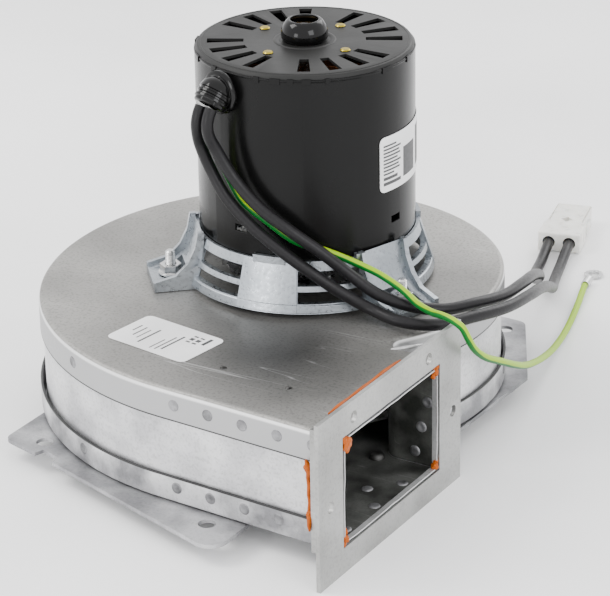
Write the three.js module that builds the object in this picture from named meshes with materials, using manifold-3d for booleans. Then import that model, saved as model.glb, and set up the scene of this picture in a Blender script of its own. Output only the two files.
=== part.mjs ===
// Combustion fan (draft inducer): a vertical shaded-pole motor on a cast ring bracket,
// above a sheet-metal scroll with a flanged side outlet and a blower wheel inside.
// Millimetres, +Z up along the motor shaft, +X out of the outlet.
import * as THREE from "three";
import { mergeVertices } from "three/addons/utils/BufferGeometryUtils.js";
import Module from "manifold-3d";

const wasm = await Module();
wasm.setup();

// ---- driving dimensions; heights are above the lower edge of the outlet flange ----
const gap = 0.3;
const sheet = 0.9;
const plateBottom = 7.1;
const plateThick = 1.5;
const housingFloor = plateBottom + plateThick + gap;
const housingTop = 54.6;
const topLip = 12.5;
const panLip = 10.5;

const scrollBase = 74.5;
const scrollGrowth = 3.5;
const scrollPower = 1.6;
const scrollSteps = 40;
const wallSlope = THREE.MathUtils.degToRad(-2.8);
const ductRight = -48.5;
const tongueRadius = 6;
const outletX = 84.4;

const flangeBack = 84.7;
const flangeFront = 86.3;
const flangeLeft = -135.8;
const flangeRight = -34;
const flangeTop = 64.8;
const openLeft = -119.5;
const openRight = -50;
const openBottom = 10;
const openTop = 53.4;
const collarBack = 75.4;
const collarThick = 1;

const shellRadius = 42;
const shellBottom = 73;
const seamHeight = 146.6;
const capTop = 148.9;
const slotInner = 23.2;
const slotOuter = 37.1;
const rivetCircle = 20.5;
const rivetTurn = THREE.MathUtils.degToRad(-10.6);
const slotTurn = THREE.MathUtils.degToRad(-59.2);
const domeRadius = 9;
const domeTop = 157.2;

const ringTop = 75.7;
const ringTopRadius = 42.9;
const ringBottom = 56.6;
const ringBottomRadius = 49.3;
const ringWall = 2.4;
const legTurns = [-138.2, -18.2, 101.8].map(THREE.MathUtils.degToRad);
const panelTurns = [-78.2, 41.8, 161.8].map(THREE.MathUtils.degToRad);
const legHalfWidth = 11.5;
const footOuter = 62.5;
const boltCircle = 54.4;
const boltRadius = 2;

const shaftRadius = 3.9;
const wheelRadius = 62;
const bladeInner = 51;
const wheelBottom = 15;
const wheelTop = 46;
const bladeCount = 32;
const inletRadius = 44;

const leadRadius = 2.3;
const wireRadius = 1.4;

// ---- finishes ----
function finish(color, roughness, metalness) {
  return new THREE.MeshStandardMaterial({ color, roughness, metalness });
}
const galvanised = finish(0x9d9c97, 0.45, 0.9);
const cast = finish(0xa9b1b8, 0.5, 0.85);
const blackPaint = finish(0x2b2b2c, 0.4, 0.2);
const brightSteel = finish(0xb8babd, 0.3, 1);
const brass = finish(0xb59a3c, 0.35, 0.9);
const sealant = finish(0xd2501f, 0.5, 0);
const labelPaper = finish(0xf1f1ee, 0.6, 0);
const blackRubber = finish(0x1c1c1d, 0.3, 0);
const sleeving = finish(0x333334, 0.6, 0);
const greenYellow = finish(0xa9cf2a, 0.45, 0);
const nylon = finish(0xe9e8df, 0.4, 0);
const lamination = finish(0x6c6a66, 0.5, 0.8);
const copper = finish(0xa65a2e, 0.35, 0.8);
const bronze = finish(0x8a6a3a, 0.4, 0.9);

const part = new THREE.Group();

// ---- tools ----
function solid(geometry) {
  const bare = geometry.index ? geometry.toNonIndexed() : geometry;
  bare.deleteAttribute("normal");
  bare.deleteAttribute("uv");
  const merged = mergeVertices(bare, 1e-4);
  return new wasm.Manifold(
    new wasm.Mesh({
      numProp: 3,
      vertProperties: merged.attributes.position.array,
      triVerts: new Uint32Array(merged.index.array),
    }),
  );
}

function add(name, shape, material) {
  const made = shape.getMesh();
  const geometry = new THREE.BufferGeometry();
  geometry.setAttribute("position", new THREE.BufferAttribute(made.vertProperties, 3));
  geometry.setIndex(new THREE.BufferAttribute(made.triVerts, 1));
  const faceted = geometry.toNonIndexed();
  faceted.computeVertexNormals();
  const mesh = new THREE.Mesh(faceted, material);
  mesh.name = name;
  part.add(mesh);
  return mesh;
}

const at = (x, y) => new THREE.Vector2(x, y);
const polar = (radius, turn) => at(radius * Math.cos(turn), radius * Math.sin(turn));

function arc(centre, radius, from, to, steps) {
  return Array.from({ length: steps + 1 }, (_, i) =>
    polar(radius, from + ((to - from) * i) / steps).add(centre));
}

const circle = (x, y, radius, steps = 16) => arc(at(x, y), radius, 0, 2 * Math.PI, steps).slice(0, -1);

// A flat outline raised from bottom to top, with holes.
function slab(outline, bottom, top, holes = []) {
  const shape = new THREE.Shape(outline);
  shape.holes = holes.map((points) => new THREE.Path(points));
  const geometry = new THREE.ExtrudeGeometry(shape, { depth: top - bottom, bevelEnabled: false });
  return solid(geometry.translate(0, 0, bottom));
}

// A closed profile of [radius, height] pairs, counterclockwise, turned about the shaft.
function turned(profile, segments = 48) {
  const points = [...profile, profile[0]].map(([radius, height]) => at(radius, height));
  return solid(new THREE.LatheGeometry(points, segments).rotateX(Math.PI / 2));
}

// A profile that starts and ends on the shaft's axis.
function turnedSolid(profile, segments = 24) {
  const points = profile.map(([radius, height]) => at(radius, height));
  return solid(new THREE.LatheGeometry(points, segments).rotateX(Math.PI / 2));
}

function block(x0, x1, y0, y1, z0, z1) {
  const geometry = new THREE.BoxGeometry(x1 - x0, y1 - y0, z1 - z0);
  return solid(geometry.translate((x0 + x1) / 2, (y0 + y1) / 2, (z0 + z1) / 2));
}

function rod(radius, z0, z1, x = 0, y = 0, sides = 16) {
  const geometry = new THREE.CylinderGeometry(radius, radius, z1 - z0, sides);
  return solid(geometry.rotateX(Math.PI / 2).translate(x, y, (z0 + z1) / 2));
}

// A band between two radii and two turns about the shaft.
function sector(inner, outer, from, to, bottom, top, steps = 4) {
  const origin = at(0, 0);
  const outline = [...arc(origin, outer, from, to, steps), ...arc(origin, inner, to, from, steps)];
  return slab(outline, bottom, top);
}

const spun = (shape, turn) => shape.rotate([0, 0, THREE.MathUtils.radToDeg(turn)]);
const joined = (shapes) => shapes.reduce((all, one) => all.add(one));
const cut = (shape, cutters) => cutters.reduce((left, one) => left.subtract(one), shape);

// ---- the scroll's outline ----
const scrollRadius = (turn) => scrollBase + scrollGrowth * Math.max(turn, 0) ** scrollPower;
const scrollRate = (turn) => scrollGrowth * scrollPower * Math.max(turn, 0) ** (scrollPower - 1);
const tongueY = ductRight + tongueRadius;
const tongueX = Math.sqrt((scrollBase + tongueRadius) ** 2 - tongueY ** 2);
const scrollStart = Math.atan2(tongueY, tongueX);
const scrollEnd = 4.781;

// One point of the scroll moved out by offset, with the direction it runs in.
function scrollPoint(turn, offset) {
  const radius = scrollRadius(turn);
  const rate = scrollRate(turn);
  const along = at(
    rate * Math.cos(turn) - radius * Math.sin(turn),
    rate * Math.sin(turn) + radius * Math.cos(turn),
  ).normalize();
  const outward = at(along.y, -along.x);
  return { along, point: polar(radius, turn).addScaledVector(outward, offset) };
}

// The outline of the whole housing, moved out by offset(turn); it ends at x = end on both sides.
function housingOutline(offset, end = outletX) {
  const edge = offset(0);
  const outline = [at(end, ductRight + edge)];
  const corner = arc(at(tongueX, tongueY), tongueRadius - edge, -Math.PI / 2, scrollStart - Math.PI, 5);
  outline.push(...corner.slice(0, -1));
  for (let i = 0; i <= scrollSteps; i += 1) {
    const turn = scrollStart + ((scrollEnd - scrollStart) * i) / scrollSteps;
    outline.push(scrollPoint(turn, offset(turn)).point);
  }
  const last = outline[outline.length - 1];
  outline.push(at(end, last.y + Math.tan(wallSlope) * (end - last.x)));
  return outline;
}

const even = (amount) => () => amount;

// The pan's rim stands off the wall round the scroll and closes on it at the outlet.
function panOffset(turn) {
  const share = THREE.MathUtils.clamp(turn / scrollEnd, 0, 1);
  return gap + 1.5 * Math.sin(Math.PI * share) ** 0.7;
}

// ---- housing ----
// A wall that follows the scroll between two offsets, open at the outlet.
function scrollBand(inner, outer, bottom, top) {
  const band = slab(housingOutline(outer), bottom, top);
  return band.subtract(slab(housingOutline(inner, outletX + 1), bottom - 1, top + 1));
}

const wallBottom = housingFloor + sheet + gap;
const wallTop = housingTop - sheet - gap;
add("scroll_wall", scrollBand(even(-sheet), even(0), wallBottom, wallTop), galvanised);

const boltSpots = legTurns.map((turn) => polar(boltCircle, turn));
const shaftHole = 7.5;
const plateHoles = [
  circle(0, 0, shaftHole, 24),
  circle(20.8, -93.8, 1.4, 8),
  circle(50.3, -96.5, 1.4, 8),
  ...boltSpots.map((spot) => circle(spot.x, spot.y, boltRadius + 0.4, 12)),
];
const topSkin = slab(housingOutline(even(gap + sheet)), housingTop - sheet, housingTop, plateHoles);
const topRim = scrollBand(even(gap), even(gap + sheet), housingTop - topLip, housingTop - sheet / 2);
add("housing_top_plate", topSkin.add(topRim), galvanised);

const panTop = housingFloor + panLip;
const panOutline = housingOutline((turn) => panOffset(turn) + sheet);
const panSkin = slab(panOutline, housingFloor, housingFloor + sheet, [circle(0, 0, inletRadius, 48)]);
const panRim = scrollBand(panOffset, (turn) => panOffset(turn) + sheet, housingFloor + sheet / 2, panTop);
add("bottom_pan", panSkin.add(panRim), galvanised);

// Mounting plate under the pan, with three round fixing holes in its ears.
const holeRadius = 3.3;
const plateOutline = [
  ...arc(at(-68.3, -102.9), 4, Math.PI, 1.4 * Math.PI, 4),
  at(-54.9, -110.6),
  at(-53.6, -107),
  at(-45.6, -109.3),
  at(-44.4, -113.8),
  ...arc(at(38.8, -132.6), 7, 1.42 * Math.PI, 2 * Math.PI, 6),
  at(45.8, -112),
  at(74.6, -60),
  at(74.6, -44.5),
  at(76.6, 40),
  ...arc(at(48.6, 81.4), 5, 0.15 * Math.PI, 0.5 * Math.PI, 4),
  at(36, 87),
  at(-45, 62),
  at(-72.3, 0),
];
const earSpots = [at(-56.9, -101.3), at(32.7, -125.6), at(47.4, 76.2)];
const earHoles = earSpots.map((spot) => circle(spot.x, spot.y, holeRadius, 16));
const plateInlet = circle(0, 0, inletRadius + 2, 48);
const plateTop = plateBottom + plateThick;
add("mounting_plate", slab(plateOutline, plateBottom, plateTop, [plateInlet, ...earHoles]), galvanised);

// Rolled inlet ring that guides the air into the wheel's eye.
const inletFoot = housingFloor + sheet + gap;
const inletRing = turned([
  [inletRadius - 4.4, inletFoot],
  [inletRadius + 4, inletFoot],
  [inletRadius + 4, inletFoot + 1],
  [inletRadius - 2, inletFoot + 1.6],
  [inletRadius - 3.4, inletFoot + 3.4],
  [inletRadius - 4.4, inletFoot + 3.4],
]);
add("inlet_ring", inletRing, galvanised);

// Outlet flange: a frame with a collar that slips over the end of the duct.
function outletFlange() {
  const holeSpots = [[-111.8, 58.4], [-58.3, 58.6], [-39.9, 30], [-128, 30.2]];
  const holes = holeSpots.map(([y, z]) => circle(y, z, 2.3, 12));
  const rectangle = (y0, y1, z0, z1) => [at(y0, z0), at(y1, z0), at(y1, z1), at(y0, z1)];
  const opening = rectangle(openLeft, openRight, openBottom, openTop);
  const face = rectangle(flangeLeft, flangeRight, 0, flangeTop);
  const frame = slab(face, 0, flangeFront - flangeBack, [opening, ...holes]);
  const sideRoom = gap + sheet + gap;
  const left = -122.6;
  const right = ductRight + sideRoom;
  const low = housingFloor - gap;
  const high = housingTop + gap;
  const outer = rectangle(left - collarThick, right + collarThick, low - collarThick, high + collarThick);
  const collar = slab(outer, collarBack - flangeBack, 0.5);
  const bore = block(left, right, low, high, -20, 0);
  const mouth = block(openLeft, openRight, openBottom, openTop, -1, 3);
  // Drawn with y to the right and z up, then stood up to face +X.
  return frame.add(cut(collar, [bore, mouth])).rotate([90, 0, 90]).translate([flangeBack, 0, 0]);
}
add("outlet_flange", outletFlange(), galvanised);

// ---- sealant at the outlet ----
function blob(radiusX, radiusY, radiusZ, x, y, z) {
  return solid(new THREE.SphereGeometry(1, 10, 6).scale(radiusX, radiusY, radiusZ).translate(x, y, z));
}
const blobX = flangeFront - 0.6;
const blobs = [
  [2.6, 3.1, 3.3, openLeft + 3.5, openTop - 3.7],
  [1.8, 1.9, 2.1, openRight - 2.3, openTop - 2.5],
  [1.8, 2, 1.9, openRight - 2.4, openBottom + 2.3],
  [1.8, 1.8, 2.2, openLeft + 2.2, openBottom + 2.6],
];
blobs.forEach(([rx, ry, rz, y, z], i) => {
  add(`sealant_corner_${i + 1}`, blob(rx, ry, rz, blobX, y, z), sealant);
});
const beadX = collarBack - gap;
add("sealant_side_bead", block(beadX - 2.2, beadX, -122.9, -121, 22.5, 41.5), sealant);
const beadFoot = housingTop + gap;
add("sealant_top_bead", block(beadX - 1.8, beadX, -110, -57, beadFoot, beadFoot + 1), sealant);

// ---- labels ----
function plateLabel() {
  const halfLength = 19.2 - 2.5;
  const halfWidth = 12.2 - 2.5;
  const corners = [[1, 1, 0], [-1, 1, 1], [-1, -1, 2], [1, -1, 3]];
  const outline = corners.flatMap(([sx, sy, quarter]) => {
    const from = (quarter * Math.PI) / 2;
    return arc(at(sx * halfLength, sy * halfWidth), 2.5, from, from + Math.PI / 2, 3);
  });
  const label = spun(slab(outline, 0, 0.25), THREE.MathUtils.degToRad(-8.2));
  return label.translate([-11.6, -83.3, housingTop + 0.1]);
}
add("housing_label", plateLabel(), labelPaper);

function shellLabel() {
  const from = THREE.MathUtils.degToRad(-18);
  const to = THREE.MathUtils.degToRad(44);
  return sector(shellRadius + 0.15, shellRadius + 0.4, from, to, 98, 120, 12);
}
add("motor_label", shellLabel(), labelPaper);

// ---- motor ----
const reliefTurn = THREE.MathUtils.degToRad(-104.5);
const reliefHeight = 139.2;
const reliefLean = 48;

// A steel can with four small slots near its foot and a round window for the strain relief.
function motorShell() {
  const tube = turned([
    [shellRadius - 1, shellBottom],
    [shellRadius, shellBottom],
    [shellRadius, seamHeight],
    [shellRadius - 1, seamHeight],
  ], 60);
  const slot = block(shellRadius - 3, shellRadius + 3, -2.6, 2.6, 84.3, 87);
  const slots = [-95.5, -5.5, 84.5, 174.5].map((turn) => spun(slot, THREE.MathUtils.degToRad(turn)));
  const hole = rod(5.4, shellRadius - 3, shellRadius + 3).rotate([0, 90, 0]);
  return cut(tube, [...slots, spun(hole.translate([0, 0, reliefHeight]), reliefTurn)]);
}
add("motor_shell", motorShell(), blackPaint);

// Domed end cap with four groups of four cooling slots.
function endCap() {
  const skin = turned([
    [shellRadius - 1.6, seamHeight + gap],
    [shellRadius - 0.3, seamHeight + gap],
    [shellRadius - 0.4, capTop - 1.3],
    [shellRadius - 1, capTop - 0.4],
    [shellRadius - 2.1, capTop],
    [domeRadius - 1, capTop],
    [domeRadius - 1, capTop - 1.1],
    [shellRadius - 2.4, capTop - 1.1],
  ], 60);
  const innerHalf = 1.7;
  const outerHalf = 2.5;
  const wedge = [
    at(slotInner, -innerHalf),
    at(slotOuter, -outerHalf),
    at(slotOuter, outerHalf),
    at(slotInner, innerHalf),
  ];
  const slots = [];
  for (let group = 0; group < 4; group += 1) {
    for (let i = 0; i < 4; i += 1) {
      const turn = slotTurn + (group * Math.PI) / 2 + THREE.MathUtils.degToRad(18.6 * i);
      slots.push(spun(slab(wedge, capTop - 3, capTop + 1), turn));
    }
  }
  const rivets = [0, 1, 2, 3].map((i) => polar(rivetCircle, rivetTurn + (i * Math.PI) / 2));
  const holes = rivets.map((spot) => rod(1.5, capTop - 3, capTop + 1, spot.x, spot.y, 10));
  return cut(skin, [...slots, ...holes]);
}
add("motor_end_cap", endCap(), blackPaint);

const rivet = turnedSolid([
  [0, capTop - 2.4],
  [1.1, capTop - 2.4],
  [1.1, capTop + 0.2],
  [2.1, capTop + 0.2],
  [1.6, capTop + 0.7],
  [0, capTop + 0.8],
], 10);
for (let i = 0; i < 4; i += 1) {
  const spot = polar(rivetCircle, rivetTurn + (i * Math.PI) / 2);
  add(`cap_rivet_${i + 1}`, rivet.translate([spot.x, spot.y, 0]), brass);
}

const dome = turned([
  [7.4, capTop + gap],
  [8.3, capTop + gap],
  [domeRadius, capTop + 2],
  [domeRadius, capTop + 3.6],
  [8.2, capTop + 5.8],
  [6.6, domeTop - 0.4],
  [5.6, domeTop],
  [5.3, domeTop - 0.8],
  [7, capTop + 5.4],
  [7.9, capTop + 3.4],
  [7.9, capTop + 2],
], 24);
add("bearing_dome", dome, blackPaint);

// Lower end shield with a bearing cup and four air openings.
function lowerShield() {
  const skin = turned([
    [4.8, 66.4],
    [9, 66.4],
    [9, 74],
    [shellRadius - 1.3, 74],
    [shellRadius - 1.3, 75.2],
    [7.8, 75.2],
    [7.8, 67.4],
    [4.8, 67.4],
  ], 36);
  const turns = [0.2, 0.7, 1.2, 1.7].map((share) => share * Math.PI);
  return cut(skin, turns.map((turn) => sector(17, 33, turn, turn + 1, 70, 80)));
}
add("lower_end_shield", lowerShield(), blackPaint);

function bearing(outer, bottom, top) {
  const bore = shaftRadius + gap;
  return turned([[bore, bottom], [outer, bottom], [outer, top], [bore, top]], 20);
}
add("upper_bearing", bearing(6.7, capTop + 0.6, capTop + 5), bronze);
add("lower_bearing", bearing(7.4, 67.7, 74.8), bronze);

const statorBottom = 96;
const statorTop = 121;
const rotorRadius = 20;
const statorCore = turned([
  [rotorRadius + 0.5, statorBottom],
  [shellRadius - 1.4, statorBottom],
  [shellRadius - 1.4, statorTop],
  [rotorRadius + 0.5, statorTop],
], 40);
add("stator_core", statorCore, lamination);

function winding(bottom, top) {
  const middle = (bottom + top) / 2;
  return turned([[25, bottom], [34, bottom], [36, middle], [34, top], [25, top], [23.5, middle]], 30);
}
add("upper_winding", winding(statorTop + gap, statorTop + 9), copper);
add("lower_winding", winding(statorBottom - 9, statorBottom - gap), copper);

// ---- rotor: shaft, core, cooling fan and blower wheel turn together ----
const shaftBottom = 24;
const shaftTop = capTop + 5.6;
const motorShaft = turnedSolid([
  [0, shaftBottom],
  [3.4, shaftBottom],
  [shaftRadius, shaftBottom + 0.6],
  [shaftRadius, shaftTop - 0.6],
  [3.4, shaftTop],
  [0, shaftTop],
], 20);
add("motor_shaft", motorShaft, brightSteel);
const hubBore = shaftRadius + gap;
const rotorCore = turned([
  [hubBore, 95],
  [17, 95],
  [rotorRadius, 97],
  [rotorRadius, 120],
  [17, 122],
  [hubBore, 122],
], 32);
add("rotor_core", rotorCore, lamination);

function coolingFan() {
  const web = turned([
    [hubBore, 59.6],
    [33, 59.6],
    [33, 60.6],
    [9, 60.6],
    [8, 65.6],
    [hubBore, 65.6],
  ], 32);
  const blade = block(13, 34.5, -0.5, 0.5, 60.2, 65.6);
  const blades = Array.from({ length: 8 }, (_, i) => spun(blade, (i * Math.PI) / 4));
  return joined([web, ...blades]);
}
add("cooling_fan", coolingFan(), brightSteel);

const backPlate = turned([
  [hubBore, wheelTop - 1],
  [wheelRadius, wheelTop - 1],
  [wheelRadius, wheelTop],
  [hubBore, wheelTop],
]);
add("wheel_back_plate", backPlate, galvanised);

function wheelBlades() {
  const ring = turned([
    [bladeInner, wheelBottom],
    [wheelRadius, wheelBottom],
    [wheelRadius, wheelBottom + 1],
    [bladeInner, wheelBottom + 1],
  ]);
  const middle = (bladeInner + wheelRadius) / 2;
  const reach = (wheelRadius - bladeInner) / 2 - 0.2;
  // Forward-curved blade: a shallow arc across the rim.
  const outline = [
    ...arc(at(middle, -5), reach, 0.1 * Math.PI, 0.9 * Math.PI, 5),
    ...arc(at(middle, -5), reach - 0.9, 0.9 * Math.PI, 0.1 * Math.PI, 5),
  ];
  const bladeTop = wheelTop - 1 - gap;
  const blade = slab(outline, wheelBottom + 0.5, bladeTop);
  const blades = Array.from({ length: bladeCount }, (_, i) => spun(blade, (2 * Math.PI * i) / bladeCount));
  return joined([ring, ...blades]);
}
add("wheel_blade_ring", wheelBlades(), galvanised);

const hubTop = wheelTop - 1 - gap;
const screwHeight = 36;
function wheelHub() {
  const hub = turned([[hubBore, 29], [9.5, 29], [11, 30], [11, hubTop], [hubBore, hubTop]], 24);
  const bore = rod(2.4, 0, 20, 0, 0, 12).rotate([0, 90, 0]).translate([0, 0, screwHeight]);
  return hub.subtract(bore);
}
add("wheel_hub", wheelHub(), brightSteel);
const setscrew = rod(2, hubBore + 0.2, 12.2, 0, 0, 12).rotate([0, 90, 0]);
add("hub_setscrew", setscrew.translate([0, 0, screwHeight]), brightSteel);

// ---- ring bracket with three legs ----
function bracketLeg(turn) {
  const foot = block(46.5, footOuter, -legHalfWidth, legHalfWidth, housingTop + gap, housingTop + 3);
  // Side view of the leg's web: x out from the shaft, y up.
  const heel = [at(footOuter, housingTop + gap), at(47, housingTop + gap), at(44.6, 62), at(42.6, 74)];
  const web = [at(43, 77.4), at(44.2, 70), at(47.4, 63.6), at(52.5, 59.5), at(footOuter, 57.2), ...heel];
  const ribLine = [at(44.9, 78), at(46.2, 71.6), at(49.2, 65.6), at(54, 60.8), at(footOuter, 58.6)];
  const rib = [...ribLine, ...heel, at(42.6, 78)];
  const upright = (outline, from, to) => slab(outline, from, to).rotate([90, 0, 0]);
  const nutRoom = block(boltCircle - 5.4, footOuter + 1, -6.4, 6.4, housingTop + 3, 90);
  const thin = upright(web, -legHalfWidth, legHalfWidth).subtract(nutRoom);
  const leftRib = upright(rib, -legHalfWidth, 2 - legHalfWidth);
  const rightRib = upright(rib, legHalfWidth - 2, legHalfWidth);
  return spun(joined([foot, thin, leftRib, rightRib]), turn);
}

function motorBracket() {
  const slope = (ringBottomRadius - ringTopRadius) / (ringTop - ringBottom);
  const outerAt = (height) => ringTopRadius + slope * (ringTop - height);
  const cone = turned([
    [outerAt(ringBottom) - ringWall, ringBottom],
    [outerAt(ringBottom), ringBottom],
    [outerAt(ringTop - 3) + 0.2, ringTop - 3],
    [ringTopRadius + 0.5, ringTop],
    [shellRadius + gap, ringTop],
    [shellRadius + gap, ringTop - 3.4],
  ], 60);
  const panelHalf = THREE.MathUtils.degToRad(14.5);
  const legHalf = THREE.MathUtils.degToRad(13.5);
  const windows = [];
  legTurns.forEach((turn) => {
    const after = [turn + legHalf, turn + Math.PI / 3 - panelHalf];
    const before = [turn - Math.PI / 3 + panelHalf, turn - legHalf];
    [after, before].forEach(([from, to]) => {
      windows.push(sector(38, 56, from, to, 60.2, 64.6, 3));
      windows.push(sector(38, 56, from, to, 66.6, 72, 3));
    });
  });
  const tabHalf = THREE.MathUtils.degToRad(8.5);
  const tabOuter = ringTopRadius + 1.2;
  const tabs = panelTurns.map((turn) =>
    sector(shellRadius + gap, tabOuter, turn - tabHalf, turn + tabHalf, ringTop - 2, ringTop + 1.6, 3));
  const bore = turnedSolid([[0, 50], [shellRadius + gap, 50], [shellRadius + gap, 90], [0, 90]], 60);
  const boltHoles = boltSpots.map((spot) => rod(boltRadius + 0.4, 50, 90, spot.x, spot.y, 12));
  const legs = legTurns.map(bracketLeg);
  return cut(joined([cut(cone, windows), ...legs, ...tabs]), [bore, ...boltHoles]);
}
add("motor_bracket", motorBracket(), cast);

const boltHeadTop = housingTop - sheet - gap;
const nutBottom = housingTop + 3 + gap;
boltSpots.forEach((spot, i) => {
  const head = rod(3.9, boltHeadTop - 2.8, boltHeadTop, spot.x, spot.y, 6);
  const shank = rod(boltRadius, boltHeadTop - 1, 67.4, spot.x, spot.y, 12);
  add(`bracket_bolt_${i + 1}`, head.add(shank), brightSteel);
  const washer = rod(4.9, nutBottom, nutBottom + 0.8, spot.x, spot.y, 16);
  const hexagon = rod(4.3, nutBottom + 0.4, nutBottom + 3.9, spot.x, spot.y, 6);
  const thread = rod(boltRadius + gap, 50, 70, spot.x, spot.y, 12);
  add(`bracket_nut_${i + 1}`, washer.add(hexagon).subtract(thread), brightSteel);
});

// ---- strain relief: a collar in the shell's window and a barrel that leans down ----
function strainRelief() {
  const outer = shellRadius + gap;
  const neck = rod(5, shellRadius - 3.6, shellRadius + 2, 0, 0, 20).rotate([0, 90, 0]);
  const collarShape = new THREE.CylinderGeometry(7.6, 8.6, 2.6, 20).rotateZ(-Math.PI / 2);
  const collar = solid(collarShape.translate(shellRadius + 1.9, 0, 0));
  const barrel = rod(6.9, 0, 7.9, 0, 0, 20).rotate([0, 90 + reliefLean, 0]);
  const body = joined([neck, collar, barrel.translate([shellRadius + 2.6, 0, 1.6])]);
  // Everything but the neck is cut back to the outside of the can.
  const can = turned([[30, -20], [outer, -20], [outer, 20], [30, 20]], 60);
  const neckRoom = rod(5.1, 20, 60, 0, 0, 20).rotate([0, 90, 0]);
  const trimmed = body.subtract(can.subtract(neckRoom));
  return spun(trimmed.translate([0, 0, reliefHeight]), reliefTurn);
}
add("strain_relief", strainRelief(), blackRubber);

// ---- leads: routes from the strain relief over the bracket and plate down to the ground ----
const rightLeadRoute = [
  [-10.1, -50.1, 135.1], [-10.5, -51.6, 132.2], [-10.7, -52.3, 128.7], [-10.4, -51.7, 124.6],
  [-8.6, -49.8, 119.0], [-1.9, -47.8, 107.6], [7.7, -46.4, 97.9], [19.1, -43.8, 90.0], [29.1, -38.9, 81.8],
  [38.6, -33.3, 72.5], [48.6, -29.8, 65.2], [60.3, -25.5, 61.2], [69.8, -17.5, 58.8], [76.3, -3.5, 57.4],
  [78.6, 14.0, 54.2], [75.8, 35.0, 50.6], [69.6, 56.0, 44.6], [61.4, 77.5, 35.6], [52.6, 96.5, 25.6],
  [44.6, 110.5, 17.8], [37.2, 123.0, 11.4], [30.8, 135.0, 6.6], [26.0, 146.5, 3.8], [22.4, 158.0, 2.9],
  [19.2, 169.2, 4.1], [17.0, 176.4, 4.7], [15.8, 180.6, 4.7],
];
const leftLeadRoute = [
  [-15.4, -48.8, 135.1], [-15.8, -50.3, 132.2], [-16.1, -51.1, 128.7], [-16.3, -50.6, 124.8],
  [-16.2, -49.2, 119.8], [-12.8, -47.9, 110.2], [-6.3, -48.3, 100.7], [3.6, -47.3, 90.9], [15.3, -45.1, 82.0],
  [26.3, -41.8, 74.1], [36.7, -37.5, 66.6], [47.3, -34.0, 60.8], [61.0, -34.5, 58.6], [73.0, -28.5, 57.5],
  [80.5, -13.0, 56.4], [84.2, 6.0, 53.6], [82.4, 28.0, 49.6], [76.4, 50.0, 43.0], [68.4, 72.0, 33.8],
  [59.8, 92.5, 23.8], [52.4, 109.0, 15.6], [45.8, 123.0, 9.6], [39.8, 136.0, 5.4], [35.0, 148.4, 3.3],
  [31.3, 159.8, 2.9], [28.1, 171.0, 4.2], [25.9, 178.7, 4.7], [24.7, 182.7, 4.7],
];
const groundWireRoute = [
  [-12.1, -46.9, 132.8], [-12.4, -48.0, 130.9], [-12.6, -48.4, 128.6], [-12.8, -47.6, 124.8],
  [-12.0, -45.0, 117.6], [-8.0, -43.2, 106.2], [-1.3, -43.9, 97.7], [8.8, -42.8, 91.2], [18.6, -39.6, 84.3],
  [28.5, -33.6, 80.0], [37.2, -28.6, 75.6], [46.5, -25.4, 71.4], [56.5, -26.0, 67.6], [67.0, -31.0, 65.2],
  [75.6, -35.8, 65.8], [81.0, -38.4, 66.8], [86.0, -40.0, 66.7], [90.1, -40.3, 64.9], [92.0, -39.3, 60.8],
  [92.4, -35.6, 55.4], [92.2, -26.5, 48.0], [91.4, -11.0, 39.5], [88.8, 6.0, 30.5], [84.5, 23.0, 22.5],
  [80.5, 39.0, 16.5], [76.2, 55.0, 11.2], [71.8, 71.0, 6.8], [67.2, 87.5, 3.6], [62.8, 103.0, 1.9],
  [58.8, 117.0, 1.7], [54.8, 130.0, 1.8], [51.4, 140.5, 2.0], [49.8, 145.5, 2.1],
];

// A round tube along a route, sampled every step mm.
function tube(route, radius, step) {
  const points = route.map((point) => new THREE.Vector3(...point));
  const curve = new THREE.CatmullRomCurve3(points, false, "centripetal");
  const section = new THREE.Shape(circle(0, 0, radius, 8));
  const steps = Math.round(curve.getLength() / step);
  return solid(new THREE.ExtrudeGeometry(section, { steps, extrudePath: curve, bevelEnabled: false }));
}
add("right_lead", tube(rightLeadRoute, leadRadius, 9), sleeving);
add("left_lead", tube(leftLeadRoute, leadRadius, 9), sleeving);
add("ground_wire", tube(groundWireRoute, wireRadius, 6), greenYellow);

// ---- two-way connector and ring terminal ----
function leadConnector() {
  const nearEnd = at(21.4, 177.3);
  const heading = Math.atan2(35.7, -9.5);
  const side = [at(0, -9.6), at(13, -9.6), at(15, -8.6), at(36, -7.8)];
  const otherSide = side.map((point) => at(point.x, -point.y)).reverse();
  const body = slab([...side, ...otherSide], 0.3, 9.1);
  const bore = (radius, from, to, offset) =>
    rod(radius, from, to, 0, 0, 12).rotate([0, 90, 0]).translate([0, offset, 4.7]);
  const pair = (sign) => [bore(2.8, -1, 6, 4.6 * sign), bore(2.2, 26, 40, 4 * sign)];
  const bores = [...pair(-1), ...pair(1)];
  return spun(cut(body, bores), heading).translate([nearEnd.x, nearEnd.y, 0]);
}
add("lead_connector", leadConnector(), nylon);

function ringTerminal() {
  const start = at(49.7, 146.1);
  const heading = Math.atan2(19, -3.8);
  const barrel = rod(1.9, 0, 6.5, 0, 0, 12).rotate([0, 90, 0]).translate([0, 0, 2.1]);
  const tongue = block(5.5, 12, -1.6, 1.6, 0.5, 1.5).subtract(rod(2.5, 0, 3, 15, 0, 16));
  const ring = slab(circle(15, 0, 4.3, 20), 0.5, 1.5, [circle(15, 0, 2.3, 16)]);
  return spun(joined([barrel, tongue, ring]), heading).translate([start.x, start.y, 0]);
}
add("ring_terminal", ringTerminal(), brightSteel);

// ---- place the part: the origin is under the middle of the box, without the cords ----
const cordNames = ["right_lead", "left_lead", "ground_wire", "lead_connector", "ring_terminal"];
const box = new THREE.Box3();
part.children.filter((mesh) => !cordNames.includes(mesh.name)).forEach((mesh) => box.expandByObject(mesh));
const centre = box.getCenter(new THREE.Vector3());
part.position.set(-centre.x, -centre.y, -box.min.z);

export default part;
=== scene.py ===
import math

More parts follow.
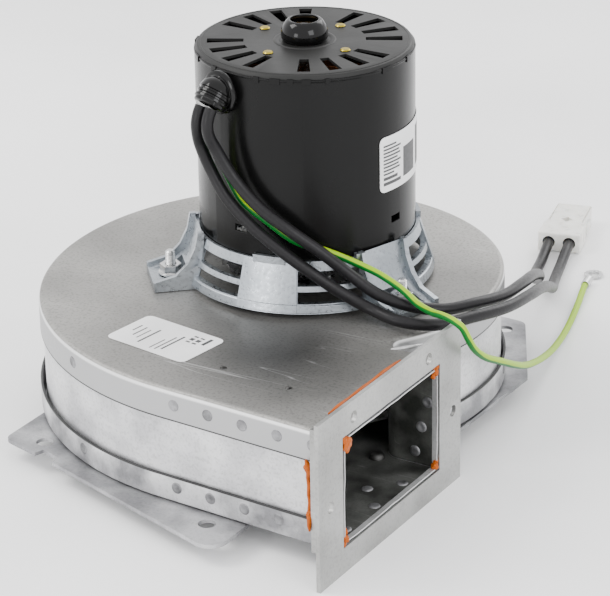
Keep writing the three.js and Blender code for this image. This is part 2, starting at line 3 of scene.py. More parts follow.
import bmesh
import bpy
from mathutils import Matrix, Vector, noise


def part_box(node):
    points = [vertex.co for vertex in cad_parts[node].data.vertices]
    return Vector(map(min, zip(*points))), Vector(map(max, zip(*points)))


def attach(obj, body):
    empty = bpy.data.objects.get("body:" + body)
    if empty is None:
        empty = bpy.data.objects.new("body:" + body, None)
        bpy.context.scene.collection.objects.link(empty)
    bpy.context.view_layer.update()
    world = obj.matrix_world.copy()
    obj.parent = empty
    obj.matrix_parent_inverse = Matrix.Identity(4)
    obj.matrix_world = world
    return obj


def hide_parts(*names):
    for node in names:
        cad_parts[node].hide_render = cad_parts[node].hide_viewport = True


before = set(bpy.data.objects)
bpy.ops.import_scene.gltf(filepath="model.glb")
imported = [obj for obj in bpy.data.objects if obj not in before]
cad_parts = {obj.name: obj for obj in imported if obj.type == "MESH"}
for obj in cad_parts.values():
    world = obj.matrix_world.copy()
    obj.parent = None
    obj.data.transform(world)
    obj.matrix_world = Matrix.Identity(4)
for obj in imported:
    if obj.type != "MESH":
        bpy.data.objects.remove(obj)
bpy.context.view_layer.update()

low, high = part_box("motor_shell")
shaftFoot = Vector(((low.x + high.x) / 2, (low.y + high.y) / 2, 0))    # the shaft's axis at floor level
toRow = Matrix.Translation(shaftFoot) @ Matrix.Scale(0.001, 4)    # from millimetres about the shaft


viewSet = {
    "place": (539.1, -873.8, 494.9),
    "forward": (-0.4816, 0.7778, -0.4038),
    "right": (0.8502, 0.5264, 0.0),
    "roll": -0.01815,
    "lens": 168.0,
}


def makeCamera(s):
    camData = bpy.data.cameras.new("camera")
    camData.lens = s["lens"]
    camData.sensor_width = 36
    cam = bpy.data.objects.new("camera", camData)
    bpy.context.collection.objects.link(cam)
    forward = Vector(s["forward"]).normalized()
    right = Vector(s["right"]).normalized()
    up = right.cross(forward)
    turn = -s["roll"]
    axisX = right * math.cos(turn) - up * math.sin(turn)
    axisY = up * math.cos(turn) + right * math.sin(turn)
    m = Matrix((axisX, axisY, -forward)).transposed().to_4x4()
    m.translation = toRow @ Vector(s["place"])
    cam.matrix_world = m
    bpy.context.scene.camera = cam


lightSet = {
    "world": (0.99, 0.992, 1.0, 1.9),
    "key": ((-900, -500, 1250), 700, 16.0, (1.0, 0.99, 0.97)),
    "side": ((1150, -500, 700), 600, 7.0, (0.97, 0.98, 1.0)),
    "back": ((150, 1250, 900), 800, 9.0, (1.0, 1.0, 1.0)),
    "front": ((-250, -1300, 350), 420, 4.0, (1.0, 1.0, 1.0)),
}


def makeLights(s):
    world = bpy.data.worlds.new("studio")
    bpy.context.scene.world = world
    world.use_nodes = True
    r, g, b, strength = s["world"]
    back = world.node_tree.nodes["Background"]
    back.inputs["Color"].default_value = (r, g, b, 1)
    back.inputs["Strength"].default_value = strength
    for name in ("key", "side", "back", "front"):
        place, size, power, colour = s[name]
        data = bpy.data.lights.new(name, "AREA")
        data.shape = "SQUARE"
        data.size = size / 1000
        data.energy = power
        data.color = colour
        lamp = bpy.data.objects.new(name, data)
        bpy.context.collection.objects.link(lamp)
        lamp.location = toRow @ Vector(place)
        aim = toRow @ Vector((10, -10, 70)) - lamp.location
        lamp.rotation_euler = aim.to_track_quat("-Z", "Y").to_euler()


makeCamera(viewSet)
makeLights(lightSet)
print("camera and lights ready")


def newFinish(name, colour, metallic, roughness):
    mat = bpy.data.materials.new(name)
    mat.use_nodes = True
    shader = mat.node_tree.nodes["Principled BSDF"]
    shader.inputs["Base Color"].default_value = (*colour, 1)
    shader.inputs["Metallic"].default_value = metallic
    shader.inputs["Roughness"].default_value = roughness
    return mat, mat.node_tree.nodes, mat.node_tree.links, shader


def objectNoise(nodes, links, scale, detail=3.0, stretch=(1, 1, 1), turn=0.0):
    place = nodes.new("ShaderNodeTexCoord")
    mapping = nodes.new("ShaderNodeMapping")
    mapping.inputs["Scale"].default_value = stretch
    mapping.inputs["Rotation"].default_value = (0, 0, turn)
    links.new(place.outputs["Object"], mapping.inputs["Vector"])
    tex = nodes.new("ShaderNodeTexNoise")
    tex.inputs["Scale"].default_value = scale
    tex.inputs["Detail"].default_value = detail
    links.new(mapping.outputs["Vector"], tex.inputs["Vector"])
    return tex.outputs["Fac"]


def ramp(nodes, links, value, stops):
    node = nodes.new("ShaderNodeValToRGB")
    while len(node.color_ramp.elements) < len(stops):
        node.color_ramp.elements.new(0.5)
    for element, (place, colour) in zip(node.color_ramp.elements, stops):
        element.position = place
        element.color = (*colour, 1)
    links.new(value, node.inputs["Fac"])
    return node.outputs["Color"]


def mixed(nodes, links, value, first, second, blend="MIX"):
    node = nodes.new("ShaderNodeMix")
    node.data_type = "RGBA"
    node.blend_type = blend
    for socket, given in (("Factor", value), ("A", first), ("B", second)):
        # the colour sockets are the third pair of this node
        target = node.inputs[0] if socket == "Factor" else node.inputs[6 if socket == "A" else 7]
        if hasattr(given, "links") or hasattr(given, "is_linked"):
            links.new(given, target)
        elif isinstance(given, (int, float)):
            target.default_value = given
        else:
            target.default_value = (*given, 1)
    return node.outputs[2]


def spread(nodes, links, value, lowest, highest, start=0.3, stop=0.7):
    node = nodes.new("ShaderNodeMapRange")
    for socket, given in zip(("From Min", "From Max", "To Min", "To Max"), (start, stop, lowest, highest)):
        node.inputs[socket].default_value = given
    links.new(value, node.inputs["Value"])
    return node.outputs["Result"]


def addBump(nodes, links, shader, height, strength, distance):
    node = nodes.new("ShaderNodeBump")
    node.inputs["Strength"].default_value = strength
    node.inputs["Distance"].default_value = distance
    links.new(height, node.inputs["Height"])
    links.new(node.outputs["Normal"], shader.inputs["Normal"])


def sheetFinish(name, s):
    mat, nodes, links, shader = newFinish(name, s["mid"], s["metallic"], s["rough"][0])
    cloud = objectNoise(nodes, links, s["cloud"], 5)
    speckle = objectNoise(nodes, links, 900, 3)
    brushed = objectNoise(nodes, links, s["grain"], 4, s["stretch"], s.get("turn", 0))
    tone = ramp(nodes, links, cloud, ((0.36, s["dark"]), (0.64, s["light"])))
    dots = ramp(nodes, links, speckle, ((0.34, (0.62,) * 3), (0.5, (1.0,) * 3)))
    colour = mixed(nodes, links, s["speckle"], tone, dots, "MULTIPLY")
    streak = ramp(nodes, links, brushed, ((0.32, (0.8,) * 3), (0.5, (1.0,) * 3)))
    colour = mixed(nodes, links, s["streak"], colour, streak, "MULTIPLY")
    place = nodes.new("ShaderNodeTexCoord")
    split = nodes.new("ShaderNodeSeparateXYZ")
    links.new(place.outputs["Object"], split.inputs["Vector"])
    if "shade" in s:    # a wide painted shade on the flat
        x, y, reach, tone = s["shade"]
        away = nodes.new("ShaderNodeVectorMath")
        away.operation = "DISTANCE"
        away.inputs[1].default_value = toRow @ Vector((x, y, 54.6))
        links.new(place.outputs["Object"], away.inputs[0])
        near = spread(nodes, links, away.outputs["Value"], 1.0, 0.0, 0.0, reach / 1000)
        near.node.interpolation_type = "SMOOTHSTEP"
        colour = mixed(nodes, links, near, colour, mixed(nodes, links, 1.0, colour, tone, "MULTIPLY"))
    if "lip" in s:    # the turned rim is coloured lighter than the flat, with a painted highlight along its bend
        low, high = s["lip"][0] / 1000, s["lip"][1] / 1000
        height = spread(nodes, links, split.outputs["Z"], 0.0, 1.0, low, high)
        rim = mixed(nodes, links, 0.6, s["lipTone"], tone, "MULTIPLY")
        colour = mixed(nodes, links, height, mixed(nodes, links, 0.5, rim, s["lipTone"]), colour)
        # painted highlight: a bright band along the bend
        wearAndHighlight = ramp(nodes, links, height, ((0.0, (0, 0, 0)), (0.45, (1, 1, 1)), (0.8, (1, 1, 1)), (1.0, (0, 0, 0))))
        colour = mixed(nodes, links, wearAndHighlight, colour, s["wearAndHighlight"])
    if "edge" in s:    # painted shadow, nearly black, along the rim's edge where it stands off the wall
        first, last = s["edge"][0] / 1000, s["edge"][1] / 1000
        rimGapShadow = spread(nodes, links, split.outputs["Z"], 1.0, 0.0, first, last)
        colour = mixed(nodes, links, rimGapShadow, colour, (0.035, 0.035, 0.035))
    scratches = objectNoise(nodes, links, 55, 2, (0.06, 1.6, 1), 0.5)
    thin = ramp(nodes, links, scratches, ((0.496, (0, 0, 0)), (0.499, (1, 1, 1)), (0.501, (1, 1, 1)), (0.504, (0, 0, 0))))
    patch = ramp(nodes, links, cloud, ((0.5, (0, 0, 0)), (0.62, (s["scratch"],) * 3)))
    colour = mixed(nodes, links, mixed(nodes, links, 1.0, thin, patch, "MULTIPLY"), colour, s["wearAndHighlight"])
    links.new(colour, shader.inputs["Base Color"])
    links.new(spread(nodes, links, cloud, *s["rough"]), shader.inputs["Roughness"])
    addBump(nodes, links, shader, speckle, s["bump"], 0.0002)
    return mat


# the brightest tone is the colour of the scratches and of the painted highlight on the lid's bend
galvanisedSet = {
    "mid": (0.55, 0.55, 0.54), "dark": (0.42, 0.42, 0.42), "light": (0.68, 0.68, 0.68), "wearAndHighlight": (0.85, 0.85, 0.85),
    "metallic": 0.75, "rough": (0.34, 0.5), "cloud": 34, "grain": 120, "stretch": (1, 1, 0.1),
    "speckle": 0.35, "streak": 0.35, "scratch": 0.5, "bump": 0.12,
}
# on the lid, shade is a painted shade on the flat and edge a painted shadow under the rim
lidSet = dict(galvanisedSet, dark=(0.22, 0.215, 0.203), light=(0.37, 0.362, 0.344), metallic=0.7, cloud=16,
              speckle=0.7, streak=0.12, rough=(0.4, 0.56), lip=(52.2, 53.8), lipTone=(0.52, 0.52, 0.525), scratch=0.3,
              wearAndHighlight=(0.8, 0.8, 0.8), edge=(42.5, 42.8), shade=(35, -76, 78, (0.22, 0.222, 0.226)))
wallSet = dict(galvanisedSet, scratch=0.0, speckle=0.5, dark=(0.46, 0.46, 0.475), light=(0.72, 0.72, 0.73), cloud=45, stretch=(1, 1, 8), grain=50,
               rough=(0.32, 0.46), metallic=0.6)
# edge on the pan is a painted shadow in the gap over its rim
panSet = dict(galvanisedSet, edge=(18.95, 18.75), scratch=0.0, dark=(0.24, 0.24, 0.25), light=(0.68, 0.68, 0.69), cloud=60, metallic=0.65)
flangeSet = dict(galvanisedSet, dark=(0.31, 0.31, 0.3), light=(0.44, 0.44, 0.43), stretch=(1, 0.2, 1), scratch=0.12)
plateSet = dict(galvanisedSet, scratch=0.2, dark=(0.19, 0.19, 0.2), light=(0.5, 0.5, 0.51), cloud=50, streak=0.15)
# painted shade for the inside faces of the housing
ductShadeSet = dict(galvanisedSet, dark=(0.06, 0.063, 0.057), light=(0.2, 0.205, 0.192), cloud=70, rough=(0.35, 0.6), scratch=0.5,
               wearAndHighlight=(0.5, 0.5, 0.48))
weldSet = dict(galvanisedSet, dark=(0.14, 0.14, 0.145), light=(0.34, 0.34, 0.35), scratch=0.0, cloud=200, rough=(0.4, 0.6))
lipsSet = dict(galvanisedSet, dark=(0.5, 0.5, 0.5), light=(0.75, 0.75, 0.75), scratch=0.0)

galvanised = sheetFinish("galvanised_sheet", galvanisedSet)
lidSheet = sheetFinish("lid_sheet", lidSet)
wallSheet = sheetFinish("wall_sheet", wallSet)
panSheet = sheetFinish("pan_sheet", panSet)
flangeSheet = sheetFinish("flange_sheet", flangeSet)
plateSheet = sheetFinish("plate_sheet", plateSet)
ductShadeSheet = sheetFinish("duct_sheet", ductShadeSet)
weldSheet = sheetFinish("weld_sheet", weldSet)
lipSheet = sheetFinish("lip_sheet", lipsSet)


def castFinish():
    mat, nodes, links, shader = newFinish("zinc_casting", (0.52, 0.56, 0.6), 0.95, 0.4)
    grains = objectNoise(nodes, links, 700, 4)
    cloud = objectNoise(nodes, links, 28, 2)
    tone = ramp(nodes, links, cloud, ((0.3, (0.27, 0.295, 0.32)), (0.7, (0.5, 0.53, 0.56))))
    speck = ramp(nodes, links, grains, ((0.35, (0.84,) * 3), (0.6, (1.0,) * 3)))
    links.new(mixed(nodes, links, 1.0, tone, speck, "MULTIPLY"), shader.inputs["Base Color"])
    links.new(spread(nodes, links, grains, 0.22, 0.48), shader.inputs["Roughness"])
    addBump(nodes, links, shader, grains, 0.35, 0.0003)
    return mat


def paintFinish(name, colour, rough, coat, bump, shine=0.3):
    mat, nodes, links, shader = newFinish(name, colour, 0.0, rough[0])
    peel = objectNoise(nodes, links, 420, 2)
    cloud = objectNoise(nodes, links, 35, 3)
    dim = tuple(c * 0.72 for c in colour)
    links.new(ramp(nodes, links, cloud, ((0.3, dim), (0.7, colour))), shader.inputs["Base Color"])
    links.new(spread(nodes, links, cloud, *rough), shader.inputs["Roughness"])
    shader.inputs["Coat Weight"].default_value = coat
    shader.inputs["Coat Roughness"].default_value = 0.25
    shader.inputs["Specular IOR Level"].default_value = shine
    addBump(nodes, links, shader, peel, bump, 0.0002)
    return mat


def metalFinish(name, colour, rough, scale=300, bump=0.1):
    mat, nodes, links, shader = newFinish(name, colour, 1.0, rough)
    grain = objectNoise(nodes, links, scale, 4)
    dim = tuple(c * 0.75 for c in colour)
    links.new(ramp(nodes, links, grain, ((0.3, dim), (0.7, colour))), shader.inputs["Base Color"])
    links.new(spread(nodes, links, grain, rough * 0.8, rough * 1.4), shader.inputs["Roughness"])
    addBump(nodes, links, shader, grain, bump, 0.0002)
    return mat


def softFinish(name, colour, rough, scale, bump, through=0.0, shine=0.5):
    mat, nodes, links, shader = newFinish(name, colour, 0.0, rough)
    grain = objectNoise(nodes, links, scale, 3)
    dim = tuple(c * 0.8 for c in colour)
    links.new(ramp(nodes, links, grain, ((0.3, dim), (0.7, colour))), shader.inputs["Base Color"])
    links.new(spread(nodes, links, grain, rough * 0.85, rough * 1.2), shader.inputs["Roughness"])
    shader.inputs["Subsurface Weight"].default_value = through
    shader.inputs["Specular IOR Level"].default_value = shine
    shader.inputs["Subsurface Radius"].default_value = (0.003, 0.0025, 0.002)
    addBump(nodes, links, shader, grain, bump, 0.0003)
    return mat


def stripeFinish():
    # the stripe follows the tube's own UV: u runs round the wire
    mat, nodes, links, shader = newFinish("ground_stripe", (0.5, 0.7, 0.03), 0.0, 0.38)
    place = nodes.new("ShaderNodeUVMap")
    place.uv_map = "along"
    split = nodes.new("ShaderNodeSeparateXYZ")
    links.new(place.outputs["UV"], split.inputs["Vector"])
    wobble = objectNoise(nodes, links, 90, 2)
    edge = nodes.new("ShaderNodeMath")
    edge.operation = "MULTIPLY_ADD"
    edge.inputs[1].default_value = 0.08
    links.new(wobble, edge.inputs[0])
    links.new(split.outputs["X"], edge.inputs[2])
    green, yellow = (0.0, 0.12, 0.012), (0.27, 0.45, 0.0)
    stops = ((0.0, yellow), (0.29, yellow), (0.31, green), (0.76, green), (0.78, yellow), (1.0, yellow))
    links.new(ramp(nodes, links, edge.outputs["Value"], stops), shader.inputs["Base Color"])
    shader.inputs["Specular IOR Level"].default_value = 0.2
    return mat


zincCasting = castFinish()
shellPaint = paintFinish("shell_paint", (0.004, 0.004, 0.004), (0.2, 0.3), 0.0, 0.08, 0.16)
capPaint = paintFinish("cap_paint", (0.016, 0.016, 0.0155), (0.4, 0.55), 0.0, 0.2, 0.22)
glossBlack = paintFinish("gloss_black", (0.003, 0.003, 0.003), (0.08, 0.14), 0.0, 0.05, 0.24)
brightSteel = metalFinish("bright_steel", (0.68, 0.68, 0.68), 0.26)
brassFinish = metalFinish("brass", (0.4, 0.31, 0.04), 0.34)
copperWire = metalFinish("enamelled_wire", (0.16, 0.06, 0.025), 0.4, 500)
bronze = metalFinish("sintered_bronze", (0.45, 0.32, 0.16), 0.4, 900, 0.2)
coreSteel = metalFinish("lamination", (0.12, 0.118, 0.115), 0.5, 400)
orangeSealant = softFinish("orange_sealant", (0.42, 0.082, 0.0), 0.42, 260, 0.3, 0.0, 0.2)
labelFilm = softFinish("label_film", (0.9, 0.9, 0.9), 0.42, 40, 0.02)
printGrey = softFinish("print_grey", (0.05, 0.05, 0.052), 0.5, 800, 0.02)
leadSleeve = softFinish("lead_sleeve", (0.01, 0.0095, 0.0105), 0.38, 900, 0.25, shine=0.22)
whiteNylon = softFinish("white_nylon", (0.82, 0.81, 0.76), 0.3, 200, 0.05, 0.3)
groundStripe = stripeFinish()
floorPale = softFinish("floor_pale", (0.99, 0.99, 0.99), 0.8, 3, 0.0)
print("finishes ready")


# helpers for pieces; every number given to them is in millimetres about the shaft

def settle(name, mesh, material, body, nodes=()):
    mesh.materials.append(material)
    piece = bpy.data.objects.new(name, mesh)
    bpy.context.collection.objects.link(piece)
    if body:
        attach(piece, body)
    if nodes:
        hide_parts(*nodes)
    return piece


def finishPiece(name, bm, material, nodes=(), body="housing", angle=35, soften=0.0, steps=2):
    bm.transform(toRow)
    mesh = bpy.data.meshes.new(name)
    bm.to_mesh(mesh)
    bm.free()
    mesh.shade_smooth()
    mesh.set_sharp_from_angle(angle=math.radians(angle))
    piece = settle(name, mesh, material, body, nodes)
    if soften:
        softenEdges(piece, soften, steps, angle)
    return piece


def softenEdges(piece, width, steps, angle=35):
    mod = piece.modifiers.new("edges", "BEVEL")
    mod.width = width / 1000
    mod.segments = steps
    mod.limit_method = "ANGLE"
    mod.angle_limit = math.radians(angle)
    mod.use_clamp_overlap = True
    mod.harden_normals = True


def refined(node, material, body="housing", angle=35, soften=0.15, steps=2):
    # a smoother copy of a CAD node
    bm = bmesh.new()
    bm.from_mesh(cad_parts[node].data)
    bmesh.ops.remove_doubles(bm, verts=bm.verts, dist=1e-6)
    bmesh.ops.dissolve_limit(bm, angle_limit=math.radians(0.6), verts=bm.verts, edges=bm.edges)
    mesh = bpy.data.meshes.new(node + "_shown")
    bm.to_mesh(mesh)
    bm.free()
    mesh.shade_smooth()
    mesh.set_sharp_from_angle(angle=math.radians(angle))
    piece = settle(node + "_shown", mesh, material, body, (node,))
    if soften:
        softenEdges(piece, soften, steps, angle)
    return piece


def carved(bm, cutters):
    # takes the cutters, one bmesh, out of bm and gives a new bmesh
    objects = []
    for source in (bm, cutters):
        mesh = bpy.data.meshes.new("cut")
        source.to_mesh(mesh)
        source.free()
        thing = bpy.data.objects.new("cut", mesh)
        bpy.context.collection.objects.link(thing)
        objects.append(thing)
    mod = objects[0].modifiers.new("cut", "BOOLEAN")
    mod.object = objects[1]
    mod.operation = "DIFFERENCE"
    mod.solver = "EXACT"
    bpy.context.view_layer.update()
    result = bmesh.new()
    evaluated = objects[0].evaluated_get(bpy.context.evaluated_depsgraph_get())
    result.from_mesh(evaluated.to_mesh())
    evaluated.to_mesh_clear()
    for thing in objects:
        mesh = thing.data
        bpy.data.objects.remove(thing)
        bpy.data.meshes.remove(mesh)
    return result


def addLathe(bm, profile, steps=96, closed=True, turn=None):
    before = set(bm.verts)
    verts = [bm.verts.new((r, 0, z)) for r, z in profile]
    pairs = list(zip(verts, verts[1:] + (verts[:1] if closed else [])))
    if not closed:
        pairs = pairs[:len(verts) - 1]
    edges = [bm.edges.new(pair) for pair in pairs]
    bmesh.ops.spin(bm, geom=verts + edges, cent=(0, 0, 0), axis=(0, 0, 1), angle=2 * math.pi,
                   steps=steps, use_merge=True, use_duplicate=False)
    made = [v for v in bm.verts if v not in before]
    bmesh.ops.remove_doubles(bm, verts=made, dist=1e-4)
    made = [v for v in bm.verts if v not in before]
    if turn:
        bmesh.ops.transform(bm, matrix=turn, verts=made)
    bmesh.ops.recalc_face_normals(bm, faces=bm.faces)
    return made


def addBox(bm, x0, x1, y0, y1, z0, z1, turn=None):
    size = Matrix.Diagonal((x1 - x0, y1 - y0, z1 - z0, 1))
    m = Matrix.Translation(((x0 + x1) / 2, (y0 + y1) / 2, (z0 + z1) / 2)) @ size
    return bmesh.ops.create_cube(bm, size=1, matrix=(turn @ m) if turn else m)["verts"]


def addRod(bm, radius, z0, z1, x=0.0, y=0.0, sides=32, top=None, turn=None):
    m = Matrix.Translation((x, y, (z0 + z1) / 2))
    made = bmesh.ops.create_cone(bm, cap_ends=True, segments=sides, radius1=radius,
                                 radius2=radius if top is None else top, depth=z1 - z0,
                                 matrix=(turn @ m) if turn else m)
    return made["verts"]


def addOutline(bm, points, z):
    verts = [bm.verts.new((x, y, z)) for x, y in points]
    face = bm.faces.new(verts)
    face.normal_update()
    if face.normal.z < 0:
        face.normal_flip()
    return face


def addSlab(bm, points, z0, z1):
    face = addOutline(bm, points, z0)
    face.normal_flip()
    made = bmesh.ops.extrude_face_region(bm, geom=[face], use_keep_orig=True)
    verts = [v for v in made["geom"] if isinstance(v, bmesh.types.BMVert)]
    bmesh.ops.translate(bm, vec=(0, 0, z1 - z0), verts=verts)
    bmesh.ops.recalc_face_normals(bm, faces=bm.faces)
    return verts


def spunBy(degrees):
    return Matrix.Rotation(math.radians(degrees), 4, "Z")


def arcPoints(x, y, radius, start, stop, count):
    span = [math.radians(start + (stop - start) * i / count) for i in range(count + 1)]
    return [(x + radius * math.cos(a), y + radius * math.sin(a)) for a in span]


rightLeadRoute = [
    (-10.1, -50.1, 135.1), (-10.5, -51.6, 132.2), (-10.7, -52.3, 128.7), (-10.4, -51.7, 124.6),
    (-8.6, -49.8, 119.0), (-1.9, -47.8, 107.6), (7.7, -46.4, 97.9), (19.1, -43.8, 90.0), (29.1, -38.9, 81.8),
    (38.6, -33.3, 72.5), (48.6, -29.8, 65.2), (60.3, -25.5, 61.2), (69.8, -17.5, 58.8), (76.3, -3.5, 57.4),
    (78.6, 14.0, 54.2), (75.8, 35.0, 50.6), (69.6, 56.0, 44.6), (61.4, 77.5, 35.6), (52.6, 96.5, 25.6),
    (44.6, 110.5, 17.8), (37.2, 123.0, 11.4), (30.8, 135.0, 6.6), (26.0, 146.5, 3.8), (22.4, 158.0, 2.9),
    (19.2, 169.2, 4.1), (17.0, 176.4, 4.7), (15.8, 180.6, 4.7),
]
leftLeadRoute = [
    (-15.4, -48.8, 135.1), (-15.8, -50.3, 132.2), (-16.1, -51.1, 128.7), (-16.3, -50.6, 124.8),
    (-16.2, -49.2, 119.8), (-12.8, -47.9, 110.2), (-6.3, -48.3, 100.7), (3.6, -47.3, 90.9), (15.3, -45.1, 82.0),
    (26.3, -41.8, 74.1), (36.7, -37.5, 66.6), (47.3, -34.0, 60.8), (61.0, -34.5, 58.6), (73.0, -28.5, 57.5),
    (80.5, -13.0, 56.4), (84.2, 6.0, 53.6), (82.4, 28.0, 49.6), (76.4, 50.0, 43.0), (68.4, 72.0, 33.8),
    (59.8, 92.5, 23.8), (52.4, 109.0, 15.6), (45.8, 123.0, 9.6), (39.8, 136.0, 5.4), (35.0, 148.4, 3.3),
    (31.3, 159.8, 2.9), (28.1, 171.0, 4.2), (25.9, 178.7, 4.7), (24.7, 182.7, 4.7),
]
groundWireRoute = [
    (-12.1, -46.9, 132.8), (-12.4, -48.0, 130.9), (-12.6, -48.4, 128.6), (-12.8, -47.6, 124.8),
    (-12.0, -45.0, 117.6), (-8.0, -43.2, 106.2), (-1.3, -43.9, 97.7), (8.8, -42.8, 91.2), (18.6, -39.6, 84.3),
    (28.5, -33.6, 80.0), (37.2, -28.6, 75.6), (46.5, -25.4, 71.4), (56.5, -26.0, 67.6), (67.0, -31.0, 65.2),
    (75.6, -35.8, 65.8), (81.0, -38.4, 66.8), (86.0, -40.0, 66.7), (90.1, -40.3, 64.9), (92.0, -39.3, 60.8),
    (92.4, -35.6, 55.4), (92.2, -26.5, 48.0), (91.4, -11.0, 39.5), (88.8, 6.0, 30.5), (84.5, 23.0, 22.5),
    (80.5, 39.0, 16.5), (76.2, 55.0, 11.2), (71.8, 71.0, 6.8), (67.2, 87.5, 3.6), (62.8, 103.0, 1.9),
    (58.8, 117.0, 1.7), (54.8, 130.0, 1.8), (51.4, 140.5, 2.0), (49.8, 145.5, 2.1),
]


def smoothRoute(route, parts=12):
    # the centripetal curve through the points, as the CAD draws it
    p = [Vector(v) for v in route]
    p = [2 * p[0] - p[1]] + p + [2 * p[-1] - p[-2]]
    out = []
    for i in range(1, len(p) - 2):
        d = [math.sqrt((p[i + k + 1] - p[i + k]).length) for k in (-1, 0, 1)]
        t1 = ((p[i] - p[i - 1]) / d[0] - (p[i + 1] - p[i - 1]) / (d[0] + d[1]) + (p[i + 1] - p[i]) / d[1]) * d[1]
        t2 = ((p[i + 1] - p[i]) / d[1] - (p[i + 2] - p[i]) / (d[1] + d[2]) + (p[i + 2] - p[i + 1]) / d[2]) * d[1]
        for k in range(parts):
            t = k / parts
            a, b = p[i], p[i + 1]
            out.append(a * (2 * t**3 - 3 * t**2 + 1) + t1 * (t**3 - 2 * t**2 + t)
                       + b * (3 * t**2 - 2 * t**3) + t2 * (t**3 - t**2))
    out.append(p[-2])
    return out


def tubeAlong(route, radii, sides, facing=None, parts=12):
    # a round tube with its own UV: round it, and along it; radii is one number, or one for each route point
    line = smoothRoute(route, parts)
    bm = bmesh.new()
    uvLayer = bm.loops.layers.uv.new("along")
    side = (line[1] - line[0]).orthogonal().normalized()
    rings, runs, run = [], [], 0.0
    for i, point in enumerate(line):
        ahead = (line[min(i + 1, len(line) - 1)] - line[max(i - 1, 0)]).normalized()
        if facing:
            side = Vector(facing)    # the stripe keeps one side all the way
        side = (side - ahead * side.dot(ahead)).normalized()
        other = ahead.cross(side)
        if i:
            run += (point - line[i - 1]).length
        radius = radii
        if not isinstance(radii, (int, float)):
            k, share = divmod(i / parts, 1.0)
            k = int(k)
            radius = radii[k] + (radii[min(k + 1, len(radii) - 1)] - radii[k]) * share * share * (3 - 2 * share)
        turns = [2 * math.pi * k / sides for k in range(sides)]
        rings.append([bm.verts.new(point + (side * math.cos(a) + other * math.sin(a)) * radius) for a in turns])
        runs.append(run)
    for i in range(len(rings) - 1):
        for k in range(sides):
            n = (k + 1) % sides
            face = bm.faces.new((rings[i][k], rings[i][n], rings[i + 1][n], rings[i + 1][k]))
            across = (k / sides, (k + 1) / sides, (k + 1) / sides, k / sides)
            for loop, u, v in zip(face.loops, across, (runs[i], runs[i], runs[i + 1], runs[i + 1])):
                loop[uvLayer].uv = (u, v / 1000)
    bm.faces.new(rings[0][::-1])
    bm.faces.new(rings[-1])
    bmesh.ops.recalc_face_normals(bm, faces=bm.faces)
    return bm, line, run


def makeCord(name, node, route, radius, material, facing=None, sides=20):
    bm, line, length = tubeAlong(route, radius, sides, facing)
    piece = finishPiece(name, bm, material, (node,), angle=60)
    print(name, "is", round(length), "mm long")
    return piece


connectorSet = {"place": (21.4, 177.3, 0), "turn": 104.9}


def makeConnector(s):
    bm = bmesh.new()
    body = [(0, -9.6), (13, -9.6), (15, -8.6), (36, -7.8), (36, 7.8), (15, 8.6), (13, 9.6), (0, 9.6)]
    addSlab(bm, body, 0.3, 9.1)
    bmesh.ops.bevel(bm, geom=list(bm.edges), affect="EDGES", offset=0.7, segments=3, profile=0.5, material=-1)
    cutters = bmesh.new()
    lie = Matrix.Rotation(math.radians(90), 4, "Y")
    for side in (-1, 1):
        addRod(cutters, 2.8, -1, 6, sides=28, turn=Matrix.Translation((0, side * 4.6, 4.7)) @ lie)
        addRod(cutters, 2.2, 26, 40, sides=28, turn=Matrix.Translation((0, side * 4.0, 4.7)) @ lie)
    addBox(cutters, -1.9, 1.9, -1.9, 1.9, 5.6, 10, turn=Matrix.Translation((17.5, 0, 0)) @ spunBy(45))
    for side in (-1, 1):
        addBox(cutters, 15.2, 35.2, side * 1.1 - 0.25 + side * 6.4, side * 1.1 + 0.25 + side * 6.4, 8.5, 10)
    bm = carved(bm, cutters)
    for side in (-1, 1):
        latch = addBox(bm, 17, 27, min(side * 7.4, side * 9.5), max(side * 7.4, side * 9.5), 2.6, 6.4)
        edges = list({e for v in latch for e in v.link_edges})
        bmesh.ops.bevel(bm, geom=edges, affect="EDGES", offset=0.5, segments=2, profile=0.5, material=-1)
    bmesh.ops.transform(bm, matrix=Matrix.Translation(s["place"]) @ spunBy(s["turn"]), verts=bm.verts)
    return finishPiece("connector_body", bm, whiteNylon, ("lead_connector",), soften=0.12)


terminalSet = {"place": (49.7, 146.1, 0), "turn": 101.3, "teeth": 14}


def makeTerminal(s):
    bm = bmesh.new()
    lie = Matrix.Rotation(math.radians(90), 4, "Y")
    addRod(bm, 1.9, 0, 6.5, sides=24, turn=Matrix.Translation((0, 0, 2.1)) @ lie)
    addBox(bm, 5.5, 12.4, -1.6, 1.6, 0.5, 1.5)
    points = []
    for i in range(s["teeth"] * 2):
        reach = 4.3 if i % 2 else 3.7
        a = math.pi * i / s["teeth"]
        points.append((15 + reach * math.cos(a), reach * math.sin(a)))
    addSlab(bm, points, 0.5, 1.5)
    cutters = bmesh.new()
    addRod(cutters, 2.3, 0, 3, 15, 0, sides=24)
    bm = carved(bm, cutters)
    bmesh.ops.transform(bm, matrix=Matrix.Translation(s["place"]) @ spunBy(s["turn"]), verts=bm.verts)
    return finishPiece("ring_lug", bm, brightSteel, ("ring_terminal",), soften=0.12)


connector = makeConnector(connectorSet)
lug = makeTerminal(terminalSet)
makeCord("right_lead_sleeve", "right_lead", rightLeadRoute, 2.3, leadSleeve)
makeCord("left_lead_sleeve", "left_lead", leftLeadRoute, 2.3, leadSleeve)
makeCord("ground_wire_striped", "ground_wire", groundWireRoute, 1.4, groundStripe,
         facing=(0.34, 0.59, 0.73))
print("cords ready")


scrollSet = {
    "base": 74.5, "growth": 3.5, "power": 1.6, "end": 4.781, "slope": math.radians(-2.8),
    "ductRight": -48.5, "tongue": 6.0, "outlet": 84.4, "sheet": 0.9, "gap": 0.3, "steps": 150,
    "floor": 8.9, "top": 54.6, "lidLip": 12.5, "panLip": 10.5, "bend": 2.2,
}


